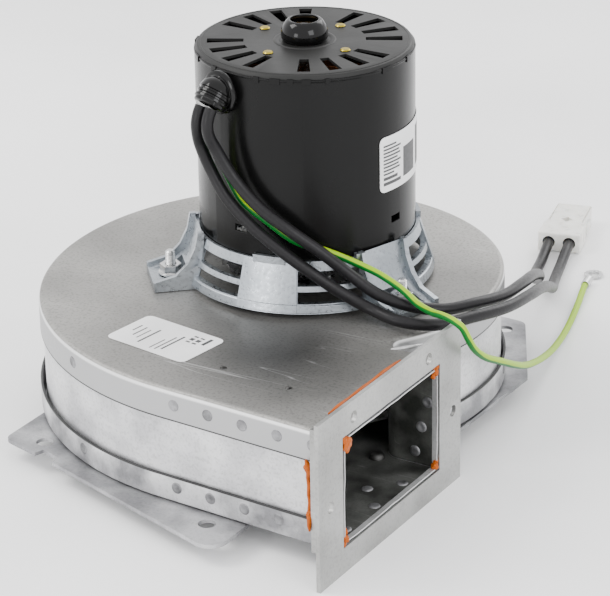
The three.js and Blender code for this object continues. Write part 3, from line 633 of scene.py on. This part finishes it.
def scrollSpot(s, turn, offset):
    grown = max(turn, 0.0)
    radius = s["base"] + s["growth"] * grown ** s["power"]
    rate = s["growth"] * s["power"] * grown ** (s["power"] - 1) if grown > 0 else 0.0
    along = Vector((rate * math.cos(turn) - radius * math.sin(turn), rate * math.sin(turn) + radius * math.cos(turn)))
    along.normalize()
    return (radius * math.cos(turn) + along.y * offset, radius * math.sin(turn) - along.x * offset), along


def housingLine(s, offset, end=None):
    # offset is a function of the turn; the line runs from the right duct wall round the scroll to the left one
    end = s["outlet"] if end is None else end
    edge = offset(0.0)
    y = s["ductRight"] + s["tongue"]
    x = math.sqrt((s["base"] + s["tongue"]) ** 2 - y * y)
    start = math.atan2(y, x)
    points = [(end, s["ductRight"] + edge)]
    points += arcPoints(x, y, s["tongue"] - edge, -90, math.degrees(start) - 180, 14)[:-1]
    for i in range(s["steps"] + 1):
        turn = start + (s["end"] - start) * i / s["steps"]
        points.append(scrollSpot(s, turn, offset(turn))[0])
    lastX, lastY = points[-1]
    points.append((end, lastY + math.tan(s["slope"]) * (end - lastX)))
    return points


def addWall(bm, points, z0, z1, thick):
    # an upright strip along an open line, given thickness towards the inside
    verts = [bm.verts.new((x, y, z0)) for x, y in points]
    edges = [bm.edges.new(pair) for pair in zip(verts, verts[1:])]
    made = bmesh.ops.extrude_edge_only(bm, edges=edges)
    upper = [v for v in made["geom"] if isinstance(v, bmesh.types.BMVert)]
    bmesh.ops.translate(bm, vec=(0, 0, z1 - z0), verts=upper)
    faces = [f for f in bm.faces if all(v in verts or v in upper for v in f.verts)]
    middle = Vector((0, 0, (z0 + z1) / 2))
    for face in faces:
        face.normal_update()
    if faces[len(faces) // 2].normal.dot(faces[len(faces) // 2].calc_center_median() - middle) < 0:
        bmesh.ops.reverse_faces(bm, faces=faces)
    bmesh.ops.solidify(bm, geom=faces, thickness=thick)


def panGap(s):
    def offset(turn):
        share = min(max(turn / s["end"], 0.0), 1.0)
        return s["gap"] + 1.5 * math.sin(math.pi * share) ** 0.7
    return offset


def makeScrollWall(s):
    bm = bmesh.new()
    addWall(bm, housingLine(s, lambda turn: 0.0), s["floor"] + s["sheet"] + s["gap"],
            s["top"] - s["sheet"] - s["gap"], s["sheet"])
    return finishPiece("scroll_sheet", bm, wallSheet, ("scroll_wall",), angle=50)


def addTray(bm, s, line, floorZ, rimZ, bend, steps):
    # a flat sheet with its edge turned, open at the outlet
    face = addOutline(bm, line, floorZ)
    if rimZ > floorZ:
        face.normal_flip()
    made = bmesh.ops.extrude_face_region(bm, geom=[face], use_keep_orig=True)
    far = [v for v in made["geom"] if isinstance(v, bmesh.types.BMVert)]
    bmesh.ops.translate(bm, vec=(0, 0, rimZ - floorZ), verts=far)
    farSet = set(far)
    lid = [f for f in bm.faces if all(v in farSet for v in f.verts)]
    outletWall = [f for f in bm.faces if all(abs(v.co.x - s["outlet"]) < 1e-3 for v in f.verts)]
    bmesh.ops.delete(bm, geom=lid + outletWall, context="FACES_ONLY")
    rim = [e for e in bm.edges if len(e.link_faces) == 2
           and all(abs(v.co.z - floorZ) < 1e-4 for v in e.verts)]
    bmesh.ops.bevel(bm, geom=rim, affect="EDGES", offset=bend, segments=steps, profile=0.5, material=-1)
    bmesh.ops.recalc_face_normals(bm, faces=bm.faces)
    flat = max(bm.faces, key=lambda f: f.calc_area())
    outward = 1 if rimZ < floorZ else -1
    if flat.normal.z * outward < 0:
        bmesh.ops.reverse_faces(bm, faces=bm.faces)
    bmesh.ops.solidify(bm, geom=list(bm.faces), thickness=s["sheet"])


def makeLid(s):
    bm = bmesh.new()
    line = housingLine(s, lambda turn: s["gap"] + s["sheet"])
    addTray(bm, s, line, s["top"], s["top"] - s["lidLip"], s["bend"], 6)
    cutters = bmesh.new()
    addRod(cutters, 7.5, 40, 70, sides=40)
    for x, y in ((20.8, -93.8), (50.3, -96.5)):
        addRod(cutters, 1.4, 50, 60, x, y, sides=20)
    for turn in (-138.2, -18.2, 101.8):
        x, y = (spunBy(turn) @ Vector((54.4, 0, 0))).xy
        addRod(cutters, 2.4, 50, 60, x, y, sides=20)
    bm = carved(bm, cutters)
    return finishPiece("lid", bm, lidSheet, ("housing_top_plate",), angle=40)


def makePan(s):
    bm = bmesh.new()
    gapAt = panGap(s)
    line = housingLine(s, lambda turn: gapAt(turn) + s["sheet"])
    addTray(bm, s, line, s["floor"], s["floor"] + s["panLip"], 1.4, 4)
    cutters = bmesh.new()
    addRod(cutters, 44, 0, 12, sides=96)
    bm = carved(bm, cutters)
    return finishPiece("pan", bm, panSheet, ("bottom_pan",), angle=40)


def wallSpot(s, along, offset, z):
    # a place on the outside of the housing and its outward direction; past the scroll's end along is millimetres
    if along < s["end"]:
        (x, y), ahead = scrollSpot(s, along, offset)
        return Vector((x, y, z)), Vector((ahead.y, -ahead.x, 0))
    (x, y), ahead = scrollSpot(s, s["end"], offset)
    run = Vector((math.cos(s["slope"]), math.sin(s["slope"]), 0))
    return Vector((x, y, z)) + run * (along - s["end"]), Vector((run.y, -run.x, 0))


shadeSkinSet = {"thick": 0.12, "bottom": 10.2, "top": 53.3}


def makeDuctInside(s, lining):
    # painted shade on the inside faces, as its own thin near-black skin
    bm = bmesh.new()
    addWall(bm, housingLine(s, lambda turn: -s["sheet"] - 0.02, s["outlet"] - 0.2), lining["bottom"], lining["top"],
            lining["thick"])
    finishPiece("duct_lining", bm, ductShadeSheet, angle=50)
    # painted shade on the inside of the floor as well
    bm = bmesh.new()
    addSlab(bm, housingLine(s, lambda turn: -s["sheet"] - 0.3, s["outlet"] - 0.2), 9.83, 9.95)
    cutters = bmesh.new()
    addRod(cutters, 48.4, 0, 12, sides=96)
    finishPiece("duct_floor_film", carved(bm, cutters), ductShadeSheet, angle=40)
    bm = bmesh.new()
    for x, y in tuple((79.5 - 9.0 * (k % 2), -66.0 - 10.2 * k) for k in range(5)):
        addLathe(bm, [(0, -0.3), (2.4, -0.3), (2.2, 0.1), (1.5, 0.45), (0.7, 0.3), (0, 0.26)], 24, closed=False,
                 turn=Matrix.Translation((x, y, 9.95)))
    for x, z in tuple((75.6 + 2.7 * k, 15.0 + 10.6 * k) for k in range(3)):
        lie = Matrix.Translation((x, -49.5, z)) @ Matrix.Rotation(math.radians(90), 4, "X")
        addLathe(bm, [(0, -0.3), (2.4, -0.3), (2.2, 0.1), (1.5, 0.45), (0.7, 0.3), (0, 0.26)], 24, closed=False,
                 turn=lie)
    finishPiece("duct_weld_marks", bm, weldSheet, angle=50)
    bm = bmesh.new()
    addLathe(bm, [(0, 9.9), (3.1, 9.9), (3.1, 10.4), (2.7, 11.5), (1.9, 12.1), (0, 12.3)], 32, closed=False,
             turn=Matrix.Translation((61.0, -52.6, 0)))
    return finishPiece("duct_screw_head", bm, coreSteel, angle=40)


def makeTonguePress():
    # the lid is pressed down over the tongue and leaves a raised bright lip
    route = [(65.0, -50.2, 54.2), (67.2, -48.9, 54.35), (69.6, -46.6, 54.4), (71.8, -43.6, 54.4), (73.4, -39.8, 54.2)]
    bm = tubeAlong(route, (0.3, 0.8, 1.0, 0.85, 0.3), 14, parts=8)[0]
    return finishPiece("tongue_press", bm, lipSheet, angle=60)


weldSpots = {"firstTurn": 0.35, "turnStep": 0.67, "turns": 7, "firstPast": 12.0, "pastStep": 15.0, "pasts": 5,
             "lidLine": 48.5, "panLine": 15.2, "panShift": 0.05}  # radians round the scroll, then mm past its end


def makeWeldMarks(s, welds):
    bm = bmesh.new()
    ring = [(0, -0.25), (2.3, -0.25), (2.25, 0.02), (1.9, 0.2), (1.45, 0.16), (1.1, 0.04), (0, 0.03)]
    gapAt = panGap(s)
    places = [welds["firstTurn"] + welds["turnStep"] * k for k in range(welds["turns"])]
    places += [welds["firstPast"] + welds["pastStep"] * k for k in range(welds["pasts"])]
    spots = [wallSpot(s, a, s["gap"] + s["sheet"], welds["lidLine"]) for a in places]
    for a in places:
        a += welds["panShift"]
        spots.append(wallSpot(s, a, (gapAt(a) if a < s["end"] else s["gap"]) + s["sheet"], welds["panLine"]))
    for spot, outward in spots:
        m = Matrix.Translation(spot) @ outward.to_track_quat("Z", "Y").to_matrix().to_4x4()
        addLathe(bm, ring, 28, closed=False, turn=m)
    return finishPiece("spot_weld_marks", bm, weldSheet, angle=70)


def addBlob(bm, place, radii, lumps, seed, detail=4):
    # a closed lump of sealant: a ball pushed about by noise
    made = bmesh.ops.create_icosphere(bm, subdivisions=detail, radius=1)
    for v in made["verts"]:
        d = v.co.normalized()
        swell = 1 + lumps * noise.noise(d * 1.6 + Vector((seed, 0, 0))) + lumps * 0.5 * noise.noise(d * 3.7 + Vector((0, seed, 0)))
        v.co = Vector((d.x * radii[0], d.y * radii[1], d.z * radii[2])) * swell + Vector(place)


sealantSet = {
    "top_left": (((85.7, -116.2, 49.9), (1.7, 2.9, 2.7)), ((85.5, -117.8, 51.9), (1.3, 1.7, 1.6)),
                 ((85.3, -115.4, 47.3), (1.1, 1.5, 1.5))),
    "top_right": (((85.6, -52.4, 51.1), (1.4, 1.2, 1.8)), ((85.4, -51.3, 52.4), (1.1, 1.1, 1.0)),
                  ((85.3, -53.2, 49.4), (0.9, 0.9, 1.2))),
    "bottom_right": (((85.5, -52.2, 12.3), (1.4, 1.5, 1.4)), ((85.3, -51.2, 13.6), (1.0, 0.9, 1.1))),
    "bottom_left": (((85.5, -117.5, 12.9), (1.4, 1.4, 1.7)), ((85.4, -118.3, 11.2), (1.1, 1.0, 1.3)),
                    ((85.4, -117.0, 15.4), (0.8, 0.8, 1.5))),
    "side": ((73.4, -123.2, 43.4), (73.9, -122.7, 41.2), (74.4, -122.5, 38.8), (73.9, -122.6, 36.4), (74.4, -122.4, 33.2),
             (74.0, -122.6, 30.0), (74.5, -122.4, 26.8), (74.2, -122.6, 24.0), (74.6, -123.0, 21.2), (74.9, -124.0, 18.4),
             (75.1, -124.2, 16.2)),
    "sideRadii": (0.5, 1.1, 1.3, 0.75, 1.0, 0.65, 0.85, 0.7, 1.15, 0.8, 0.4),
    "top": ((74.2, -108.5, 55.2), (74.4, -102.0, 55.25), (74.1, -94.0, 55.2), (74.5, -86.0, 55.25), (74.2, -78.0, 55.2),
            (74.4, -70.0, 55.25), (74.2, -62.0, 55.2), (74.3, -58.0, 55.2)),
    "topRadii": (0.45, 0.95, 0.6, 1.0, 0.7, 1.05, 0.7, 0.4),
}


def makeSealant(s):
    for i, name in enumerate(("top_left", "top_right", "bottom_right", "bottom_left")):
        bm = bmesh.new()
        for k, (place, radii) in enumerate(s[name]):
            addBlob(bm, place, radii, 0.28, 3.1 * i + 1.7 * k)
        finishPiece("sealant_" + name, bm, orangeSealant, ("sealant_corner_%d" % (i + 1),), angle=180)
    bm = tubeAlong(s["side"], s["sideRadii"], 16, parts=6)[0]
    addBlob(bm, (73.9, -122.8, 40.4), (1.4, 1.0, 1.8), 0.3, 5)
    addBlob(bm, (74.4, -122.9, 22.2), (1.2, 1.0, 1.6), 0.3, 8)
    finishPiece("sealant_side_string", bm, orangeSealant, ("sealant_side_bead",), angle=180)
    bm = tubeAlong(s["top"], s["topRadii"], 16, parts=6)[0]
    return finishPiece("sealant_top_smear", bm, orangeSealant, ("sealant_top_bead",), angle=180)


lipSet = {"left": -119.1, "right": -50.5, "bottom": 10.5, "top": 52.8, "back": 84.0, "front": 86.4, "thick": 0.5}


def makeDuctLips(s):
    # the duct's own edges, a little wavy, that show inside the flange
    bm = bmesh.new()
    corners = ((s["left"], s["bottom"]), (s["right"], s["bottom"]), (s["right"], s["top"]), (s["left"], s["top"]))
    centre = Vector(((s["left"] + s["right"]) / 2, (s["bottom"] + s["top"]) / 2))
    rings = [[], [], [], []]
    for i, corner in enumerate(corners):
        nextCorner = corners[(i + 1) % 4]
        for k in range(16):
            y = corner[0] + (nextCorner[0] - corner[0]) * k / 16
            z = corner[1] + (nextCorner[1] - corner[1]) * k / 16
            wave = 0.35 * noise.noise(Vector((y * 0.13, z * 0.13, 2.0)))
            inward = Vector((math.copysign(1, centre.x - y) if i % 2 else 0, 0 if i % 2 else math.copysign(1, centre.y - z)))
            if k == 0:
                inward = Vector((math.copysign(1, centre.x - y), math.copysign(1, centre.y - z)))
            front = s["front"] - 0.3 + wave
            outer = Vector((y, z)) + inward * (0.55 + abs(wave))
            inner = outer + inward * s["thick"]
            rings[0].append(bm.verts.new((s["back"], outer.x, outer.y)))
            rings[1].append(bm.verts.new((front, outer.x, outer.y)))
            rings[2].append(bm.verts.new((front, inner.x, inner.y)))
            rings[3].append(bm.verts.new((s["back"], inner.x, inner.y)))
    count = len(rings[0])
    for a, b in ((0, 1), (1, 2), (2, 3), (3, 0)):
        for k in range(count):
            n = (k + 1) % count
            bm.faces.new((rings[a][k], rings[a][n], rings[b][n], rings[b][k]))
    bmesh.ops.recalc_face_normals(bm, faces=bm.faces)
    return finishPiece("duct_lips", bm, lipSheet, angle=50)


makeScrollWall(scrollSet)
makeLid(scrollSet)
makePan(scrollSet)
makeDuctInside(scrollSet, shadeSkinSet)
makeWeldMarks(scrollSet, weldSpots)
makeTonguePress()
makeDuctLips(lipSet)
refined("mounting_plate", plateSheet, soften=0.35, steps=3)
refined("inlet_ring", galvanised, soften=0.2)
refined("outlet_flange", flangeSheet, soften=0.25, steps=3)
makeSealant(sealantSet)
print("scroll housing ready")


labelSet = {
    "turn": (-18, 44), "bottom": 98.0, "top": 120.0, "radius": 42.15, "thick": 0.25, "corner": 2.2,
    "plate": ((-11.6, -83.3, 54.7), -8.2, 19.2, 12.2),
}


def addCurvedPatch(bm, radius, thick, fromTurn, toTurn, z0, z1, steps=10, corner=0.0):
    # a patch bent round the shell; its corners are rounded by shortening the end columns
    width = math.radians(toTurn - fromTurn) * radius
    stops = [i / steps for i in range(steps + 1)]
    if corner:
        edge = [corner * (1 - math.cos(math.radians(a))) / width for a in (0, 30, 60, 90)]
        stops = edge + [x for x in stops if edge[-1] < x < 1 - edge[-1]] + [1 - e for e in edge[::-1]]
    columns = []
    for share in stops:
        inset = 0.0
        if corner:
            left = corner - min(share, 1 - share) * width
            if left > 0:
                inset = corner - math.sqrt(max(corner * corner - left * left, 0.0))
        a = math.radians(fromTurn + (toTurn - fromTurn) * share)
        columns.append([bm.verts.new((r * math.cos(a), r * math.sin(a), z))
                        for r, z in ((radius, z0 + inset), (radius + thick, z0 + inset),
                                     (radius + thick, z1 - inset), (radius, z1 - inset))])
    for first, second in zip(columns, columns[1:]):
        for k in range(4):
            n = (k + 1) % 4
            bm.faces.new((first[k], second[k], second[n], first[n]))
    bm.faces.new(columns[0])
    bm.faces.new(columns[-1][::-1])
    bmesh.ops.recalc_face_normals(bm, faces=bm.faces)


def makeShellLabel(s):
    bm = bmesh.new()
    addCurvedPatch(bm, s["radius"], s["thick"], *s["turn"], s["bottom"], s["top"], 24, s["corner"])
    finishPiece("shell_label", bm, labelFilm, ("motor_label",), angle=40)
    bm = bmesh.new()
    first, last = s["turn"]
    barRows = ((0.8, 14, 1.3), (2.9, 11, 1.2), (5.0, 8, 0.7), (6.4, 13, 0.7), (7.8, 12, 0.7), (9.2, 14, 0.7),
                  (10.6, 11, 0.7), (12.0, 13.5, 0.7), (13.4, 12.5, 0.7), (14.8, 14, 0.7), (16.2, 10, 0.7))
    for up, wide, tall in barRows:
        addCurvedPatch(bm, s["radius"] + s["thick"] + 0.01, 0.04, first + 2.4, first + 2.4 + wide,
                       s["bottom"] + 1.8 + up, s["bottom"] + 1.8 + up + tall, 6)
    addCurvedPatch(bm, s["radius"] + s["thick"] + 0.01, 0.04, first + 19, first + 33, s["bottom"] + 3, s["bottom"] + 15, 8)
    addCurvedPatch(bm, s["radius"] + s["thick"] + 0.01, 0.04, first + 37, last - 3, s["bottom"] + 3, s["top"] - 3, 8)
    return finishPiece("shell_label_bars", bm, printGrey, angle=40)


def makePlateLabel(s):
    refined("housing_label", labelFilm, soften=0.05)
    place, turn, halfX, halfY = s["plate"]
    bm = bmesh.new()
    m = Matrix.Translation(place) @ spunBy(turn)
    z0, z1 = 0.26, 0.31
    for x0, x1, y0, y1 in ((4.6, 5.4, -8.0, 5.2), (2.6, 3.2, -9.4, 3.0), (0.4, 0.9, -9.8, -1.0), (-6.6, -5.8, -8.6, 4.2),
                           (-9.4, -8.9, -6.0, 2.0), (-12.2, -11.6, -5.0, 3.0), (-15.0, -14.4, -2.0, 3.4),
                           (14.2, 15.6, 3.6, 9.4)):
        addBox(bm, x0, x1, y0, y1, z0, z1, turn=m)
    for i in range(6):
        for k in range(6):
            if (i * 5 + k * 3 + i * k) % 3:
                addBox(bm, 6.6 + i, 7.5 + i, 2.4 + k, 3.3 + k, z0, z1, turn=m)
    return finishPiece("housing_label_bars", bm, printGrey, angle=40)


makeShellLabel(labelSet)
makePlateLabel(labelSet)
print("labels ready")


seamSet = {
    "radius": 42.0, "height": 146.6, "lap": (-29.0, -60.0),
    "tabs": ((-133, 5.0), (-112, 3.0), (-84, 2.5), (-74, 4.0), (-66, 2.2), (-58, 3.4), (-47, 1.8), (-12, 5.5), (8, 3.0),
             (60, 5.0), (150, 4.0), (200, 5.0)),
}


def makeShellSeam(s):
    # the can's rolled rim with its crimped places, and the long lap of the sheet
    bm = bmesh.new()
    addCurvedPatch(bm, s["radius"] - 0.02, 0.16, s["lap"][1], s["lap"][0], 76.4, s["height"] - 0.6, 10)
    finishPiece("shell_lap", bm, shellPaint, angle=40)
    bm = bmesh.new()
    steps = 240
    profile = ((41.55, 146.35), (42.0, 146.2), (42.2, 146.55), (42.12, 147.0), (41.6, 147.15))
    rings = []
    for i in range(steps):
        a = 2 * math.pi * i / steps
        rough = 0.16 * noise.noise(Vector((math.cos(a) * 9, math.sin(a) * 9, 4.0)))
        rings.append([bm.verts.new(((r + rough) * math.cos(a), (r + rough) * math.sin(a), z + rough * 0.8))
                      for r, z in profile])
    for i in range(steps):
        for k in range(len(profile)):
            n = (k + 1) % len(profile)
            after = rings[(i + 1) % steps]
            bm.faces.new((rings[i][k], after[k], after[n], rings[i][n]))
    bmesh.ops.recalc_face_normals(bm, faces=bm.faces)
    for turn, wide in s["tabs"]:
        half = math.degrees(wide / 2 / s["radius"])
        addCurvedPatch(bm, 41.7, 0.75, turn - half, turn + half, 145.3, 147.5, 4)
    return finishPiece("shell_crimps", bm, shellPaint, angle=40, soften=0.1)


def makeCapRings():
    # the pressed groove round the dome
    bm = bmesh.new()
    addLathe(bm, [(9.6, 148.7), (12.2, 148.7), (11.9, 149.05), (11.0, 149.2), (10.0, 149.05)], 64)
    addLathe(bm, [(39.2, 148.7), (40.4, 148.5), (40.2, 148.95), (39.6, 149.05)], 128)
    return finishPiece("cap_ridges", bm, capPaint, angle=50)


refined("motor_shell", shellPaint, soften=0.2)
refined("motor_end_cap", capPaint, soften=0.45, steps=3)
makeShellSeam(seamSet)
makeCapRings()


domeSet = {"profile": ((7.4, 149.2), (8.4, 149.2), (8.95, 150.2), (9.0, 151.6), (8.8, 153.2), (8.1, 154.9), (7.2, 156.2),
                       (6.5, 156.9), (5.9, 157.15), (5.4, 157.0), (5.3, 156.4), (6.6, 155.2), (7.6, 153.6), (7.9, 151.8),
                       (7.8, 150.2))}


def makeDome(s):
    bm = bmesh.new()
    addLathe(bm, s["profile"], 64)
    return finishPiece("dome_cap", bm, glossBlack, ("bearing_dome",), angle=60)


reliefSet = {"turn": -104.5, "height": 139.2, "lean": 48, "radius": 42.3}


def makeStrainRelief(s):
    # a right-angled bushing: collar on the can, elbow, and a ridged barrel that leans down
    bm = bmesh.new()
    out = spunBy(s["turn"]) @ Matrix.Translation((s["radius"], 0, s["height"])) @ Matrix.Rotation(math.radians(90), 4, "Y")
    addLathe(bm, [(0, -3.2), (4.9, -3.2), (4.9, 1.0), (0, 1.0)], 40, closed=False, turn=out)
    addLathe(bm, [(0, 0.9), (8.3, 0.9), (8.5, 1.4), (8.3, 2.2), (7.6, 2.7), (6.9, 2.8), (6.5, 3.4), (0, 3.5)], 56,
             closed=False, turn=out)
    barrel = (spunBy(s["turn"]) @ Matrix.Translation((s["radius"] + 2.3, 0, s["height"] + 1.6))
              @ Matrix.Rotation(math.radians(90 + s["lean"]), 4, "Y"))
    addLathe(bm, [(0, -3.4), (3.0, -3.2), (5.2, -2.2), (6.4, -0.4), (6.8, 1.4), (6.9, 2.0), (6.4, 2.3), (6.4, 2.9), (6.9, 3.2),
                  (6.9, 4.0), (6.4, 4.3), (6.4, 4.9), (6.9, 5.2), (6.9, 6.0), (6.4, 6.4), (6.3, 7.4), (5.7, 7.9), (0, 7.9)],
             56, closed=False, turn=barrel)
    return finishPiece("relief_bushing", bm, glossBlack, ("strain_relief",), angle=40)


makeDome(domeSet)
makeStrainRelief(reliefSet)
for i in range(4):
    refined("cap_rivet_%d" % (i + 1), brassFinish, soften=0.1)
refined("lower_end_shield", shellPaint, soften=0.2)
print("motor ready")


bracketSet = {"turns": (-138.2, -18.2, 101.8), "circle": 54.4, "panels": (-78.2, 41.8, 161.8)}


def makeBracketTrim(s):
    # the cast ring's thick foot band, raised panels and claw teeth
    bm = bmesh.new()
    addLathe(bm, [(47.6, 56.7), (49.0, 56.7), (49.25, 57.0), (48.6, 59.6), (48.1, 59.9), (47.4, 59.8)], 160)
    for turn in s["panels"]:
        for z0, z1, r0, r1 in ((57.0, 60.0, 49.25, 48.4), (60.0, 75.4, 48.4, 43.5)):
            half = 14.2
            ring = []
            for k in range(9):
                a = math.radians(turn - half + 2 * half * k / 8)
                ring.append([bm.verts.new((r * math.cos(a), r * math.sin(a), z))
                             for r, z in ((r0 - 1.4, z0), (r0 + 0.25, z0), (r1 + 0.25, z1), (r1 - 1.4, z1))])
            for first, second in zip(ring, ring[1:]):
                for k in range(4):
                    n = (k + 1) % 4
                    bm.faces.new((first[k], second[k], second[n], first[n]))
            bm.faces.new(ring[0])
            bm.faces.new(ring[-1][::-1])
    bmesh.ops.recalc_face_normals(bm, faces=bm.faces)
    for turn in s["turns"]:
        addCurvedPatch(bm, 42.6, 2.6, turn - 16.5, turn - 13.6, 74.4, 77.4, 3)
    return finishPiece("bracket_trim", bm, zincCasting, angle=35, soften=0.3)


def makeStud(s, i):
    turn = math.radians(s["turns"][i])
    x, y = s["circle"] * math.cos(turn), s["circle"] * math.sin(turn)
    bm = bmesh.new()
    profile = [(0, 50.8), (3.9, 50.8), (3.9, 53.3), (2.0, 53.4), (1.72, 60.6)]
    z = 60.8
    while z < 66.6:
        profile += [(1.66, z), (2.0, z + 0.27), (1.66, z + 0.54)]
        z += 0.62
    profile += [(1.7, 66.9), (1.3, 67.35), (0, 67.4)]
    addLathe(bm, profile, 28, closed=False, turn=Matrix.Translation((x, y, 0)))
    finishPiece("threaded_stud_%d" % (i + 1), bm, brightSteel, ("bracket_bolt_%d" % (i + 1),), angle=40)
    refined("bracket_nut_%d" % (i + 1), brightSteel, soften=0.3, steps=3)


refined("motor_bracket", zincCasting, soften=0.45, steps=3)
makeBracketTrim(bracketSet)
for i in range(3):
    makeStud(bracketSet, i)
print("bracket ready")

for node in ("stator_core", "upper_winding", "lower_winding", "upper_bearing", "lower_bearing"):
    finish = {"stator_core": coreSteel, "upper_winding": copperWire, "lower_winding": copperWire}.get(node, bronze)
    slotName = {"stator_core": "lamination", "upper_winding": "enamelled_wire",
                "lower_winding": "enamelled_wire"}.get(node, "sintered_bronze")
    refined(node, finish, soften=0.3)
for node, finish, slotName in (
    ("motor_shaft", brightSteel, "bright_steel"), ("rotor_core", coreSteel, "lamination"),
    ("cooling_fan", brightSteel, "bright_steel"), ("wheel_back_plate", galvanised, "galvanised_sheet"),
    ("wheel_blade_ring", galvanised, "galvanised_sheet"),
    ("wheel_hub", brightSteel, "bright_steel"), ("hub_setscrew", brightSteel, "bright_steel"),
):
    refined(node, finish, body="rotor", soften=0.15)
print("inner pieces ready")


def makeFloor():
    bm = bmesh.new()
    bmesh.ops.create_grid(bm, x_segments=1, y_segments=1, size=4)
    mesh = bpy.data.meshes.new("floor")
    bm.to_mesh(mesh)
    bm.free()
    mesh.materials.append(floorPale)
    ground = bpy.data.objects.new("floor", mesh)
    bpy.context.collection.objects.link(ground)


makeFloor()
print("all pieces ready")
